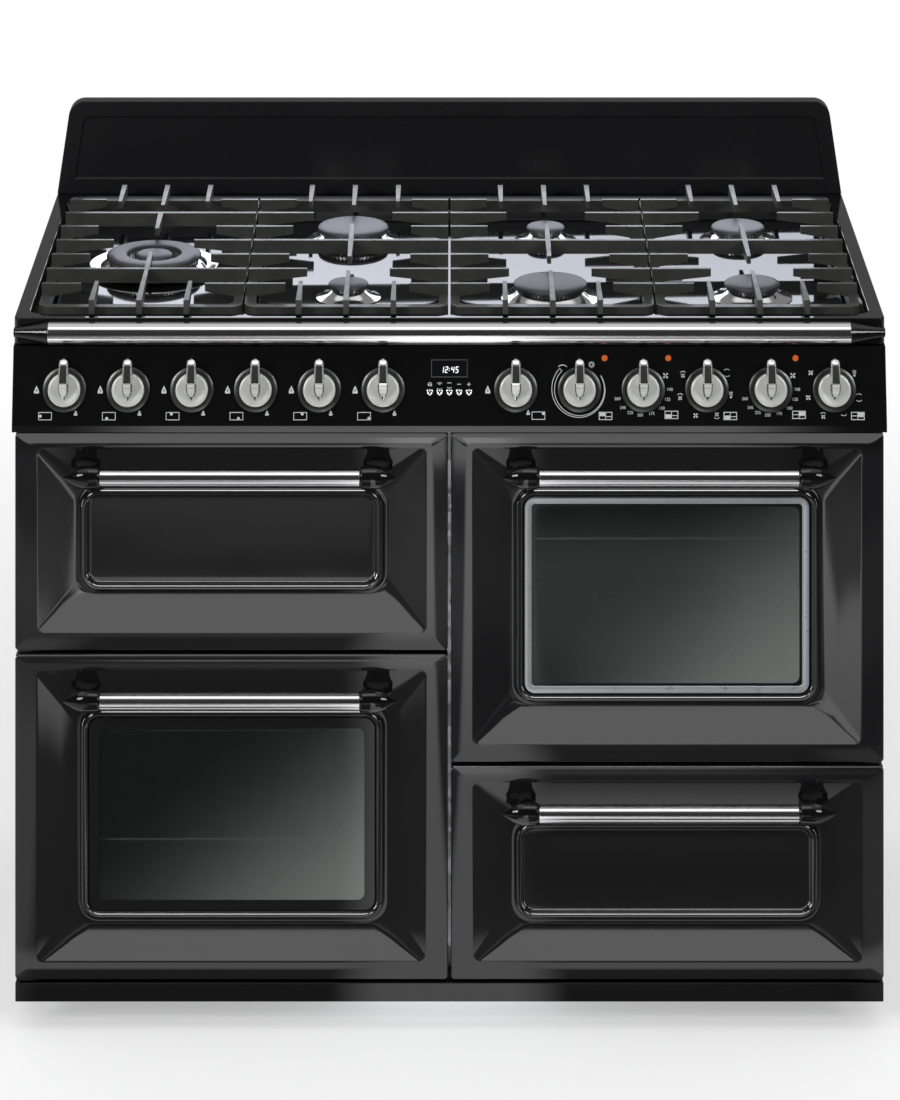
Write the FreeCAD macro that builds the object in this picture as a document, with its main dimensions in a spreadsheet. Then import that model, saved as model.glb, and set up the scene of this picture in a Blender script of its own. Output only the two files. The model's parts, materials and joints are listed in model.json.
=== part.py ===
"""A freestanding dual fuel range cooker with four drop doors and seven burners.

Millimetres.  X runs to the right, Y to the back and Z up.  The origin lies on the
floor, under the middle of the bounding box.
"""
import FreeCAD, Part
import math
import os
from types import SimpleNamespace

import Sketcher

SIZES = {
    # the whole cooker
    "width": 1100,
    "hob_height": 900,
    "body_depth": 600,
    "sheet": 2,
    "frame_sheet": 3,
    # feet and plinth
    "foot_length": 38,
    "foot_radius": 19,
    "foot_stem": 7,
    "foot_pad": 9,
    "foot_bevel": 2,
    "foot_waist": 5,
    "foot_inset": 60,
    "foot_front": 120,
    "plinth_height": 24,
    "plinth_gap": 5,
    # doors
    "door_gap": 4,
    "row_gap": 5,
    "door_field": 690,
    "left_low_door": 410,
    "right_low_door": 269,
    "shell_depth": 20,
    "inner_depth": 22,
    "inner_inset": 8,
    "door_corner": 5,
    "rim_side": 28,
    "rim_top": 20,
    "rim_low": 23,
    "rim_corner": 9,
    "sunk_depth": 14,
    "bead_side": 80,
    "bead_top": 72,
    "bead_low": 70,
    "bead_corner": 26,
    "bead_width": 12,
    "bead_rise": 8,
    "bead_ditch": 4,
    "pane_thickness": 4,
    "pane_play": 0.5,
    "outer_pane_depth": 12,
    "inner_pane_depth": 36,
    # hinges
    "hinge_rise": 24,
    "hinge_setback": 14,
    "hinge_place": 205,
    "knuckle_radius": 8,
    "knuckle_width": 8,
    "knuckle_play": 1.5,
    "hinge_pin_radius": 4,
    "hinge_pin_length": 30,
    "running_play": 0.05,
    # door handles
    "handle_reach": 51,
    "handle_radius": 10,
    "handle_length": 325,
    "handle_drop": 44,
    "handle_end_length": 47,
    "handle_end_radius": 13,
    "handle_post_place": 22,
    "handle_post_root": 12,
    "handle_post_neck": 8,
    "boss_radius": 13,
    "boss_depth": 2,
    # oven cavities
    "cavity_width": 440,
    "cavity_depth": 400,
    "cavity_margin": 116,
    "cavity_rise": 14,
    "cavity_corner": 16,
    "flange_width": 16,
    "flange_sheet": 1.5,
    "seal_room": 6,
    "seal_width": 7,
    "seal_inset": 3,
    "seal_play": 0.3,
    "ledge_depth": 8,
    "ledge_height": 4,
    "ledge_floor": 60,
    "ledge_pitch": 56,
    "shelf_setback": 40,
    "shelf_length": 350,
    "shelf_play": 2,
    "shelf_rod": 3,
    "shelf_wire": 1.5,
    "shelf_wires": 16,
    "shelf_seat": 0.3,
    "element_rod": 3.5,
    "element_drop": 24,
    "element_half": 150,
    "element_front": 90,
    # control panel
    "panel_gap": 7,
    "panel_sheet": 2.5,
    "panel_lean": 20,
    "panel_lip": 8,
    "knob_height": 815,
    "knob_first": 83.5,
    "knob_pitch": 80.2,
    "knob_gap": 1,
    "skirt_radius": 27.5,
    "skirt_height": 3,
    "disc_radius": 20.5,
    "disc_height": 9,
    "disc_step": 2,
    "disc_bevel": 1,
    "grip_width": 11,
    "grip_height": 29,
    "grip_beak": 39,
    "grip_tail": 13,
    "grip_seat": 1,
    "grip_bevel": 2,
    "grip_toe": 3,
    "grip_chin": 7,
    "grip_root": 4,
    "grip_brow": 6,
    "grip_fall": 9,
    "stem_radius": 5,
    "stem_length": 43,
    "stem_hole": 5.6,
    "stem_end_play": 1,
    "valve_width": 26,
    "valve_height": 30,
    "valve_depth": 34,
    "valve_drop": 7,
    "button_radius": 4,
    "button_pitch": 12.3,
    "button_height": 812,
    "button_proud": 1.5,
    "button_length": 9,
    "button_play": 0.3,
    "clock_width": 47,
    "clock_tall": 22,
    "clock_height": 840,
    "lens_play": 0.3,
    "lens_proud": 0.8,
    "lamp_radius": 3.7,
    "lamp_height": 852,
    "lamp_aside": 32,
    # hob
    "tray_depth": 34,
    "tray_setback": 6,
    "tray_corner": 8,
    "pan_drop": 18,
    "pan_sheet": 3,
    "pan_rim": 18,
    "pan_slope": 8,
    "pan_back": 38,
    "tray_wall": 12,
    "rail_height": 28,
    "rail_flat": 6,
    "rail_low": 2.5,
    "cap_length": 44,
    "cap_tip": 12,
    "cap_tip_flat": 2,
    "upstand_height": 130,
    "upstand_depth": 24,
    "upstand_lean": 19,
    "upstand_corner": 22,
    "upstand_border": 22,
    "upstand_sunk": 3,
    "upstand_wall": 3,
    # pan supports
    "grate_pitch": 262,
    "grate_width": 259,
    "grate_room": 22,
    "grate_corner": 16,
    "grate_bar": 12,
    "grate_low": 8,
    "grate_ring": 16,
    "grate_top": 38,
    "grate_foot": 6,
    "grate_foot_inset": 14,
    "finger_width": 7,
    "finger_tip": 5,
    "finger_low": 20,
    "finger_rise": 8,
    "finger_short": 50,
    "finger_long": 76,
    "finger_row": 65,
    "finger_column": 60,
    "finger_reach": 18,
    # burners
    "burner_offset": 130,
    "wok_radius": 63,
    "large_radius": 48,
    "medium_radius": 36.5,
    "small_radius": 26,
    "cup_height": 15,
    "cup_flare": 16,
    "cup_foot": 3,
    "cup_slope": 4,
    "cup_neck": 6,
    "cup_waist": 9,
    "cap_height": 7,
    "cap_bevel": 2,
    "cap_brow": 1,
    "cap_slope": 6,
    "wok_dish": 86,
    "dish_foot": 14,
    "dish_lip": 5,
    "dish_rise": 8,
    "wok_hole": 36,
    "wok_core": 24.5,
}

doc = FreeCAD.newDocument("range_cooker")
nodes = {}


class Size:
    """A number together with the sheet formula that gives it."""

    def __init__(self, value, formula=None):
        self.value = float(value)
        self.formula = formula or repr(float(value))

    def join(self, other, sign, value):
        return Size(value, f"({self.formula} {sign} {other.formula})")

    def __add__(self, other):
        other = as_size(other)
        return self.join(other, "+", self.value + other.value)

    def __sub__(self, other):
        other = as_size(other)
        return self.join(other, "-", self.value - other.value)

    def __mul__(self, other):
        other = as_size(other)
        return self.join(other, "*", self.value * other.value)

    def __truediv__(self, other):
        other = as_size(other)
        return self.join(other, "/", self.value / other.value)

    def __radd__(self, other):
        return as_size(other) + self

    def __rsub__(self, other):
        return as_size(other) - self

    def __rmul__(self, other):
        return as_size(other) * self

    def __neg__(self):
        return as_size(0) - self


def as_size(item):
    return item if isinstance(item, Size) else Size(item)


def make_sheet():
    """Write the driving sizes into the sheet and return them by name."""
    sheet = doc.addObject("Spreadsheet::Sheet", "Sizes")
    for row, (name, number) in enumerate(SIZES.items(), start=1):
        sheet.set(f"A{row}", name)
        sheet.set(f"B{row}", str(number))
        sheet.setAlias(f"B{row}", name)
    doc.recompute()
    return SimpleNamespace(**{name: Size(number, f"Sizes.{name}") for name, number in SIZES.items()})


S = make_sheet()


# ---- general helpers ----

def bind(thing, prop, size):
    thing.setExpression(prop, as_size(size).formula)


def place(thing, x=0, y=0, z=0, turn=None):
    """Put a thing at a bound place, turned by a plain rotation."""
    if turn is not None:
        thing.Placement = FreeCAD.Placement(FreeCAD.Vector(), turn)
    for axis, size in zip("xyz", (x, y, z)):
        bind(thing, f"Placement.Base.{axis}", size)
    return thing


ABOUT_X = FreeCAD.Vector(1, 0, 0)
ABOUT_Y = FreeCAD.Vector(0, 1, 0)
ABOUT_Z = FreeCAD.Vector(0, 0, 1)
TOWARDS = {
    "x": FreeCAD.Rotation(ABOUT_Y, 90),
    "-x": FreeCAD.Rotation(ABOUT_Y, -90),
    "y": FreeCAD.Rotation(ABOUT_X, -90),
    "-y": FreeCAD.Rotation(ABOUT_X, 90),
    "z": FreeCAD.Rotation(),
}


def block(name, x, y, z, length, width, height):
    """A box from its lowest corner."""
    box = doc.addObject("Part::Box", name)
    bind(box, "Length", length)
    bind(box, "Width", width)
    bind(box, "Height", height)
    return place(box, x, y, z)


def rod(name, x, y, z, radius, length, towards="z"):
    """A cylinder that starts at a point and runs along an axis."""
    cylinder = doc.addObject("Part::Cylinder", name)
    bind(cylinder, "Radius", radius)
    bind(cylinder, "Height", length)
    return place(cylinder, x, y, z, TOWARDS[towards])


def fuse(name, pieces):
    joined = doc.addObject("Part::MultiFuse", name)
    joined.Shapes = pieces
    joined.Refine = True
    return joined


def group(name, pieces):
    together = doc.addObject("Part::Compound", name)
    together.Links = pieces
    return together


def cut(name, base, tools):
    """Take the tools out of the base."""
    taken = doc.addObject("Part::Cut", name)
    taken.Base = base
    taken.Tool = tools[0] if len(tools) == 1 else group(f"{name}_tools", tools)
    taken.Refine = True
    return taken


def keep(name, thing):
    """Name a finished sub-part and list it for writing."""
    thing.Label = name
    nodes[name] = thing
    return thing


# ---- sketches and features ----

def new_body(name):
    return doc.addObject("PartDesign::Body", name)


def sketch_on(body, role, offset):
    """A sketch on one of the body's own origin planes, moved along its normal."""
    plane = next(item for item in body.Origin.OriginFeatures if item.Role == role)
    sketch = body.newObject("Sketcher::SketchObject", f"{body.Name}_sketch")
    sketch.AttachmentSupport = [(plane, "")]
    sketch.MapMode = "FlatFace"
    sketch.setExpression("AttachmentOffset.Base.z", as_size(offset).formula)
    return sketch


def front_sketch(body, y=0):
    """A sketch in X and Z at depth y; its normal looks to the front."""
    return sketch_on(body, "XZ_Plane", -as_size(y))


def side_sketch(body, x=0):
    """A sketch in Y and Z at place x; its normal looks to the right."""
    return sketch_on(body, "YZ_Plane", x)


def level_sketch(body, z=0):
    """A sketch in X and Y at height z; its normal looks up."""
    return sketch_on(body, "XY_Plane", z)


def hold(sketch, geometry, point, direction, size):
    """Hold one coordinate of a point of the sketch at a bound distance."""
    size = as_size(size)
    if size.value == 0:
        axis = -2 if direction == "x" else -1
        sketch.addConstraint(Sketcher.Constraint("PointOnObject", geometry, point, axis))
        return
    kind = "DistanceX" if direction == "x" else "DistanceY"
    ends = (-1, 1, geometry, point)
    if size.value < 0:
        ends = (geometry, point, -1, 1)
        size = -size
    index = sketch.addConstraint(Sketcher.Constraint(kind, *ends, size.value))
    sketch.setExpression(f"Constraints[{index}]", size.formula)


def flat(x, y):
    return FreeCAD.Vector(as_size(x).value, as_size(y).value, 0)


def polygon(sketch, points):
    """A closed outline of straight lines through held corners."""
    first = sketch.GeometryCount
    count = len(points)
    for here, there in zip(points, points[1:] + points[:1]):
        sketch.addGeometry(Part.LineSegment(flat(*here), flat(*there)))
    for step in range(count):
        following = first + (step + 1) % count
        sketch.addConstraint(Sketcher.Constraint("Coincident", first + step, 2, following, 1))
    for step, (x, y) in enumerate(points):
        hold(sketch, first + step, 1, "x", x)
        hold(sketch, first + step, 1, "y", y)


def rectangle(sketch, left, right, low, high):
    polygon(sketch, [(left, low), (right, low), (right, high), (left, high)])


def rounded_rectangle(sketch, left, right, low, high, radius):
    """A rectangle with four equal round corners."""
    first = sketch.GeometryCount
    x0, x1, y0, y1, r = (as_size(size).value for size in (left, right, low, high, radius))
    sides = [((x0 + r, y0), (x1 - r, y0)), ((x1, y0 + r), (x1, y1 - r)),
             ((x1 - r, y1), (x0 + r, y1)), ((x0, y1 - r), (x0, y0 + r))]
    centres = [(x1 - r, y0 + r), (x1 - r, y1 - r), (x0 + r, y1 - r), (x0 + r, y0 + r)]
    for number, (side, centre) in enumerate(zip(sides, centres)):
        sketch.addGeometry(Part.LineSegment(flat(*side[0]), flat(*side[1])))
        start = math.radians(90 * number - 90)
        circle = Part.Circle(flat(*centre), ABOUT_Z, r)
        sketch.addGeometry(Part.ArcOfCircle(circle, start, start + math.pi / 2))
    for number in range(4):
        line = first + 2 * number
        arc = line + 1
        following = first + (2 * number + 2) % 8
        sketch.addConstraint(Sketcher.Constraint("Tangent", line, 2, arc, 1))
        sketch.addConstraint(Sketcher.Constraint("Tangent", arc, 2, following, 1))
        level = "Horizontal" if number % 2 == 0 else "Vertical"
        sketch.addConstraint(Sketcher.Constraint(level, line))
        if number:
            sketch.addConstraint(Sketcher.Constraint("Equal", first + 1, arc))
    index = sketch.addConstraint(Sketcher.Constraint("Radius", first + 1, r))
    sketch.setExpression(f"Constraints[{index}]", as_size(radius).formula)
    hold(sketch, first, 1, "y", low)
    hold(sketch, first + 2, 1, "x", right)
    hold(sketch, first + 4, 1, "y", high)
    hold(sketch, first + 6, 1, "x", left)


def circle(sketch, x, y, radius):
    number = sketch.GeometryCount
    radius = as_size(radius)
    sketch.addGeometry(Part.Circle(flat(x, y), ABOUT_Z, radius.value))
    index = sketch.addConstraint(Sketcher.Constraint("Radius", number, radius.value))
    sketch.setExpression(f"Constraints[{index}]", radius.formula)
    hold(sketch, number, 3, "x", x)
    hold(sketch, number, 3, "y", y)


def bullnose(sketch, low, high, flat_depth):
    """A flat back at x = 0 and a half round nose towards -x."""
    low, high, flat_depth = as_size(low), as_size(high), as_size(flat_depth)
    radius = (high - low) / 2
    middle = (high + low) / 2
    nose = Part.Circle(flat(-flat_depth, middle), ABOUT_Z, radius.value)
    sketch.addGeometry(Part.LineSegment(flat(0, low), flat(-flat_depth, low)))
    sketch.addGeometry(Part.ArcOfCircle(nose, math.pi / 2, 3 * math.pi / 2))
    sketch.addGeometry(Part.LineSegment(flat(-flat_depth, high), flat(0, high)))
    sketch.addGeometry(Part.LineSegment(flat(0, high), flat(0, low)))
    sketch.addConstraint(Sketcher.Constraint("Coincident", 2, 2, 3, 1))
    sketch.addConstraint(Sketcher.Constraint("Coincident", 3, 2, 0, 1))
    sketch.addConstraint(Sketcher.Constraint("Tangent", 0, 2, 1, 2))
    sketch.addConstraint(Sketcher.Constraint("Tangent", 2, 1, 1, 1))
    sketch.addConstraint(Sketcher.Constraint("Vertical", 3))
    sketch.addConstraint(Sketcher.Constraint("Horizontal", 0))
    hold(sketch, 0, 1, "x", 0)
    hold(sketch, 0, 1, "y", low)
    hold(sketch, 3, 1, "y", high)
    hold(sketch, 0, 2, "x", -flat_depth)


def pad(body, sketch, length, backwards=False):
    feature = body.newObject("PartDesign::Pad", f"{body.Name}_pad")
    feature.Profile = sketch
    bind(feature, "Length", length)
    feature.Reversed = backwards
    return feature


def pocket(body, sketch, length, along_normal=False):
    feature = body.newObject("PartDesign::Pocket", f"{body.Name}_pocket")
    feature.Profile = sketch
    bind(feature, "Length", length)
    feature.Reversed = along_normal
    return feature


def loft(body, kind, start, end):
    feature = body.newObject(f"PartDesign::{kind}Loft", f"{body.Name}_loft")
    feature.Profile = start
    feature.Sections = [end]
    feature.Ruled = True
    return feature


def turned(name, profile):
    """A body turned about Z from (radius, height) corners."""
    body = new_body(name)
    sketch = front_sketch(body)
    polygon(sketch, profile)
    feature = body.newObject("PartDesign::Revolution", f"{name}_turn")
    feature.Profile = sketch
    feature.ReferenceAxis = (sketch, ["V_Axis"])
    feature.Angle = 360
    return body


def round_edges(body, base, chosen, radius):
    """Round the edges of a feature that the test chooses."""
    doc.recompute()
    names = [f"Edge{number}" for number, edge in enumerate(base.Shape.Edges, start=1) if chosen(edge)]
    feature = body.newObject("PartDesign::Fillet", f"{body.Name}_round")
    feature.Base = (base, names)
    bind(feature, "Radius", radius)
    return feature


# ---- shared places ----

FRONT = (S.handle_reach - S.body_depth) / 2
BACK = FRONT + S.body_depth
CHASSIS = FRONT + S.shell_depth + S.inner_depth + S.seal_room
INSIDE = S.width / 2 - S.sheet
DOOR_WIDTH = (S.width - 2 * S.door_gap) / 2
DOOR_HALF = DOOR_WIDTH / 2
COLUMN = (S.door_gap + DOOR_WIDTH) / 2
DOORS_LOW = S.foot_length + S.plinth_height + S.plinth_gap
PANEL_LOW = DOORS_LOW + S.door_field + S.panel_gap
TRAY_LOW = S.hob_height - S.tray_depth
TRAY_FRONT = FRONT + S.tray_setback
PAN = S.hob_height - S.pan_drop
GRATE_LENGTH = S.body_depth - S.tray_setback - S.pan_rim - S.pan_back - 2 * S.pan_slope - S.grate_room
GRATE_Y = TRAY_FRONT + S.pan_rim + S.pan_slope + GRATE_LENGTH / 2
KNUCKLE_TOP = S.hinge_rise + S.knuckle_radius + S.knuckle_play

LEFT_TOP = S.door_field - S.row_gap - S.left_low_door
RIGHT_TOP = S.door_field - S.row_gap - S.right_low_door


def door_plan(side, low, height, window):
    """Which column a door hangs in, its bottom edge, its height and whether it has a window."""
    return SimpleNamespace(side=side, low=low, height=height, window=window)


DOORS = {
    "grill": door_plan(-1, DOORS_LOW + S.left_low_door + S.row_gap, LEFT_TOP, False),
    "left_oven": door_plan(-1, DOORS_LOW, S.left_low_door, True),
    "right_oven": door_plan(1, DOORS_LOW + S.right_low_door + S.row_gap, RIGHT_TOP, True),
    "storage": door_plan(1, DOORS_LOW, S.right_low_door, False),
}


def cavity_height(door):
    return door.height - S.cavity_margin


def cavity_middle(door):
    return door.low + door.height / 2 + S.cavity_rise


# ---- doors ----

def bead_inside(sketch, door, play=0):
    """The outline inside a door's bead, less a play all round."""
    half = DOOR_HALF - S.bead_side - S.bead_width - play
    low = S.bead_low + S.bead_width + play
    high = door.height - S.bead_top - S.bead_width - play
    rounded_rectangle(sketch, -half, half, low, high, S.bead_corner - S.bead_width - play)


def door_shell(name, door):
    """The enamelled outer shell: a sunk frame, a raised bead, bosses and hinge notches."""
    body = new_body(name)
    plate = front_sketch(body, S.shell_depth)
    rounded_rectangle(plate, -DOOR_HALF, DOOR_HALF, 0, door.height, S.door_corner)
    pad(body, plate, S.shell_depth)
    rim = front_sketch(body)
    rim_half = DOOR_HALF - S.rim_side
    rounded_rectangle(rim, -rim_half, rim_half, S.rim_low, door.height - S.rim_top, S.rim_corner)
    floor = front_sketch(body, S.sunk_depth)
    floor_half = DOOR_HALF - S.bead_side + S.bead_ditch
    rounded_rectangle(floor, -floor_half, floor_half, S.bead_low - S.bead_ditch,
                      door.height - S.bead_top + S.bead_ditch, S.bead_corner)
    loft(body, "Subtractive", rim, floor)
    bead = front_sketch(body, S.sunk_depth)
    bead_half = DOOR_HALF - S.bead_side
    rounded_rectangle(bead, -bead_half, bead_half, S.bead_low, door.height - S.bead_top, S.bead_corner)
    bead_inside(bead, door)
    pad(body, bead, S.bead_rise)
    if door.window:
        opening = front_sketch(body)
        bead_inside(opening, door)
        pocket(body, opening, S.shell_depth)
    bosses = front_sketch(body, S.shell_depth)
    post = S.handle_length / 2 + S.handle_post_place
    for side in (-1, 1):
        circle(bosses, side * post, door.height - S.handle_drop, S.boss_radius)
    pad(body, bosses, S.shell_depth - S.boss_depth)
    notch_half = S.knuckle_width / 2 + S.knuckle_play
    notches = front_sketch(body, S.shell_depth)
    for side in (-1, 1):
        middle = side * S.hinge_place
        rectangle(notches, middle - notch_half, middle + notch_half, 0, KNUCKLE_TOP)
    knuckle_front = S.hinge_setback - S.knuckle_radius - S.knuckle_play
    pocket(body, notches, S.shell_depth - knuckle_front, along_normal=True)
    for side in (-1, 1):
        start = side * S.hinge_place - S.hinge_pin_length / 2 - S.knuckle_play
        bore = side_sketch(body, start)
        circle(bore, S.hinge_setback, S.hinge_rise, S.hinge_pin_radius + S.running_play)
        pocket(body, bore, S.hinge_pin_length + 2 * S.knuckle_play, along_normal=True)
    return body


def door_inner(name, door):
    """The inner half of a door: a pressed tray that is open towards the shell."""
    body = new_body(name)
    half = DOOR_HALF - S.inner_inset
    low = KNUCKLE_TOP + S.knuckle_play
    high = door.height - S.inner_inset
    plate = front_sketch(body, S.shell_depth + S.inner_depth)
    rounded_rectangle(plate, -half, half, low, high, S.door_corner)
    pad(body, plate, S.inner_depth)
    sheet = S.sheet
    hollow = front_sketch(body, S.shell_depth)
    rounded_rectangle(hollow, sheet - half, half - sheet, low + sheet, high - sheet, S.door_corner - sheet)
    if door.window:
        bead_inside(hollow, door, -sheet)
    pocket(body, hollow, S.inner_depth - sheet)
    if door.window:
        opening = front_sketch(body, S.shell_depth)
        bead_inside(opening, door)
        pocket(body, opening, S.inner_depth)
    return body


def door_panes(name, door):
    """The outer and the inner pane of a window door."""
    panes = []
    for side, depth in (("outer", S.outer_pane_depth), ("inner", S.inner_pane_depth)):
        body = new_body(f"{name}_{side}")
        sketch = front_sketch(body, depth + S.pane_thickness)
        bead_inside(sketch, door, S.pane_play)
        pad(body, sketch, S.pane_thickness)
        panes.append(body)
    return group(name, panes)


# the bud's outline from its mouth to its tip, as shares of its radius and its length
BUD_OUTLINE = ((0.92, 0), (1, 0.2), (0.92, 0.42), (0.62, 0.72), (0.25, 0.95))


def handle_ends(name, door):
    """Two cast brackets: a bud that holds the bar and a post down to the door."""
    length = S.handle_end_length
    radius = S.handle_end_radius
    bud = [(0, 0)] + [(radius * wide, length * far) for wide, far in BUD_OUTLINE] + [(0, length)]
    height = door.height - S.handle_drop
    axis_y = S.handle_end_radius - S.handle_reach
    brackets = []
    for side, towards in ((-1, "-x"), (1, "x")):
        cap = turned(f"{name}_bud", bud)
        place(cap, side * S.handle_length / 2, axis_y, height, TOWARDS[towards])
        post = doc.addObject("Part::Cone", f"{name}_post")
        bind(post, "Radius1", S.handle_post_root)
        bind(post, "Radius2", S.handle_post_neck)
        bind(post, "Height", S.boss_depth - axis_y)
        place(post, side * (S.handle_length / 2 + S.handle_post_place), S.boss_depth, height, TOWARDS["-y"])
        brackets.append(fuse(f"{name}_bracket", [cap, post]))
    return group(name, brackets)


def make_door(place_name, door):
    """All the pieces of one door, placed on the front of the cooker."""
    bar = rod(f"{place_name}_handle_bar", -S.handle_length / 2, S.handle_end_radius - S.handle_reach,
              door.height - S.handle_drop, S.handle_radius, S.handle_length, "x")
    pieces = {
        f"{place_name}_door_shell": door_shell(f"{place_name}_door_shell", door),
        f"{place_name}_door_inner": door_inner(f"{place_name}_door_inner", door),
        f"{place_name}_handle_ends": handle_ends(f"{place_name}_handle_ends", door),
    }
    if door.window:
        pieces[f"{place_name}_door_panes"] = door_panes(f"{place_name}_door_panes", door)
    for name, piece in pieces.items():
        keep(name, place(piece, door.side * COLUMN, FRONT, door.low))
    place(bar, door.side * COLUMN - S.handle_length / 2, FRONT + S.handle_end_radius - S.handle_reach,
          door.low + door.height - S.handle_drop, TOWARDS["x"])
    keep(f"{place_name}_handle_bar", bar)


# ---- oven cavities ----

def cavity_outline(sketch, door, grow, corner):
    half = S.cavity_width / 2 + grow
    tall = cavity_height(door) / 2 + grow
    rounded_rectangle(sketch, -half, half, -tall, tall, corner)


def make_liner(name, door, ledges):
    """A pressed steel cavity with a front flange and shelf ledges."""
    body = new_body(name)
    wall = front_sketch(body, S.cavity_depth + S.sheet)
    cavity_outline(wall, door, S.sheet, S.cavity_corner + S.sheet)
    pad(body, wall, S.cavity_depth + S.sheet)
    flange = front_sketch(body)
    cavity_outline(flange, door, S.flange_width, S.cavity_corner)
    pad(body, flange, S.flange_sheet)
    hollow = front_sketch(body, -S.flange_sheet)
    cavity_outline(hollow, door, 0, S.cavity_corner)
    pocket(body, hollow, S.cavity_depth + S.flange_sheet)
    if ledges:
        runners = front_sketch(body, S.cavity_depth)
        floor = -cavity_height(door) / 2
        half = S.cavity_width / 2
        for level in range(3):
            low = floor + S.ledge_floor + level * S.ledge_pitch
            rectangle(runners, -half, -half + S.ledge_depth, low, low + S.ledge_height)
            rectangle(runners, half - S.ledge_depth, half, low, low + S.ledge_height)
        pad(body, runners, S.cavity_depth - S.ledge_depth)
    keep(name, place(body, door.side * COLUMN, CHASSIS, cavity_middle(door)))


def make_seals():
    """Door seals on the flanges of the three heated cavities."""
    rings = []
    for place_name in ("grill", "left_oven", "right_oven"):
        door = DOORS[place_name]
        body = new_body(f"{place_name}_seal")
        sketch = front_sketch(body, -S.flange_sheet)
        inner = S.seal_inset
        cavity_outline(sketch, door, inner + S.seal_width, S.cavity_corner + inner + S.seal_width)
        cavity_outline(sketch, door, inner, S.cavity_corner + inner)
        pad(body, sketch, S.seal_room - S.flange_sheet - S.seal_play)
        rings.append(place(body, door.side * COLUMN, CHASSIS, cavity_middle(door)))
    keep("door_seals", group("door_seals", rings))


def make_shelf(name, door, level):
    """A wire shelf that rests on a pair of ledges."""
    half = S.cavity_width / 2 - S.shelf_play - S.shelf_rod
    start = S.shelf_setback
    length = S.shelf_length
    radius = S.shelf_rod
    pieces = []
    for side in (-1, 1):
        pieces.append(rod(f"{name}_side", side * half, start, 0, radius, length, "y"))
    for y in (start + radius, start + length - radius):
        pieces.append(rod(f"{name}_cross", -half, y, 0, radius, 2 * half, "x"))
    wires = SIZES["shelf_wires"]
    for number in range(wires):
        x = -half + 2 * half * (number + 1) / (S.shelf_wires + 1)
        pieces.append(rod(f"{name}_wire", x, start + radius, 0, S.shelf_wire, length - 2 * radius, "y"))
    ledge_top = S.ledge_floor + level * S.ledge_pitch + S.ledge_height
    z = cavity_middle(door) - cavity_height(door) / 2 + ledge_top + radius + S.shelf_seat
    keep(name, place(fuse(name, pieces), door.side * COLUMN, CHASSIS, z))


def serpentine(sketch, runs, front, back, end):
    """A path of four straight runs joined by half circles, open at the end wall."""
    half = (runs[1] - runs[0]) / 2
    stops = [(end, front), (front, back), (back, front), (front, end)]
    for x, (start, stop) in zip(runs, stops):
        line = sketch.addGeometry(Part.LineSegment(flat(x, start), flat(x, stop)))
        hold(sketch, line, 1, "x", x)
        hold(sketch, line, 1, "y", start)
        hold(sketch, line, 2, "x", x)
        hold(sketch, line, 2, "y", stop)
    for number, y in enumerate((front, back, front)):
        bend = Part.Circle(flat(runs[number] + half, y), ABOUT_Z, half.value)
        turn = math.pi if y is front else 0
        arc = sketch.addGeometry(Part.ArcOfCircle(bend, turn, turn + math.pi))
        first, last = (1, 2) if y is front else (2, 1)
        sketch.addConstraint(Sketcher.Constraint("Coincident", arc, first, number, 2))
        sketch.addConstraint(Sketcher.Constraint("Coincident", arc, last, number + 1, 1))
        hold(sketch, arc, 3, "y", y)


def make_elements():
    """A serpentine heating element under the roof of each heated cavity."""
    elements = []
    runs = [S.element_half * share for share in (-1, -1 / 3, 1 / 3, 1)]
    for place_name in ("grill", "left_oven", "right_oven"):
        door = DOORS[place_name]
        body = new_body(f"{place_name}_element")
        path = level_sketch(body)
        serpentine(path, runs, S.element_front, S.cavity_depth - S.element_front, S.cavity_depth)
        section = front_sketch(body, S.cavity_depth)
        circle(section, runs[0], 0, S.element_rod)
        pipe = body.newObject("PartDesign::AdditivePipe", f"{place_name}_pipe")
        pipe.Profile = section
        pipe.Spine = (path, [])
        z = cavity_middle(door) + cavity_height(door) / 2 - S.element_drop
        elements.append(place(body, door.side * COLUMN, CHASSIS, z))
    keep("heating_elements", group("heating_elements", elements))


# ---- body ----

def make_chassis():
    """The welded frame: a floor, a front plate with four mouths, and hinge knuckles."""
    low = S.foot_length
    floor = block("chassis_floor", -INSIDE, CHASSIS, low, 2 * INSIDE, BACK - S.sheet - CHASSIS, S.frame_sheet)
    plate = block("chassis_plate", -INSIDE, CHASSIS, low, 2 * INSIDE, S.frame_sheet, TRAY_LOW - low)
    mouths = []
    knuckles = []
    for door in DOORS.values():
        half = S.cavity_width / 2 + S.sheet
        tall = cavity_height(door) / 2 + S.sheet
        mouths.append(block("chassis_mouth", door.side * COLUMN - half, CHASSIS - S.sheet,
                            cavity_middle(door) - tall, 2 * half, S.frame_sheet + 2 * S.sheet, 2 * tall))
        for side in (-1, 1):
            x = door.side * COLUMN + side * S.hinge_place
            y = FRONT + S.hinge_setback
            z = door.low + S.hinge_rise
            knuckles.append(block("knuckle_arm", x - S.knuckle_width / 2, y, z - S.knuckle_radius,
                                  S.knuckle_width, CHASSIS - y, 2 * S.knuckle_radius))
            knuckles.append(rod("knuckle_eye", x - S.knuckle_width / 2, y, z,
                                S.knuckle_radius, S.knuckle_width, "x"))
            knuckles.append(rod("hinge_pin", x - S.hinge_pin_length / 2, y, z,
                                S.hinge_pin_radius, S.hinge_pin_length, "x"))
    holed = cut("chassis_front", plate, mouths)
    keep("chassis_frame", fuse("chassis_frame", [floor, holed] + knuckles))


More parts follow.
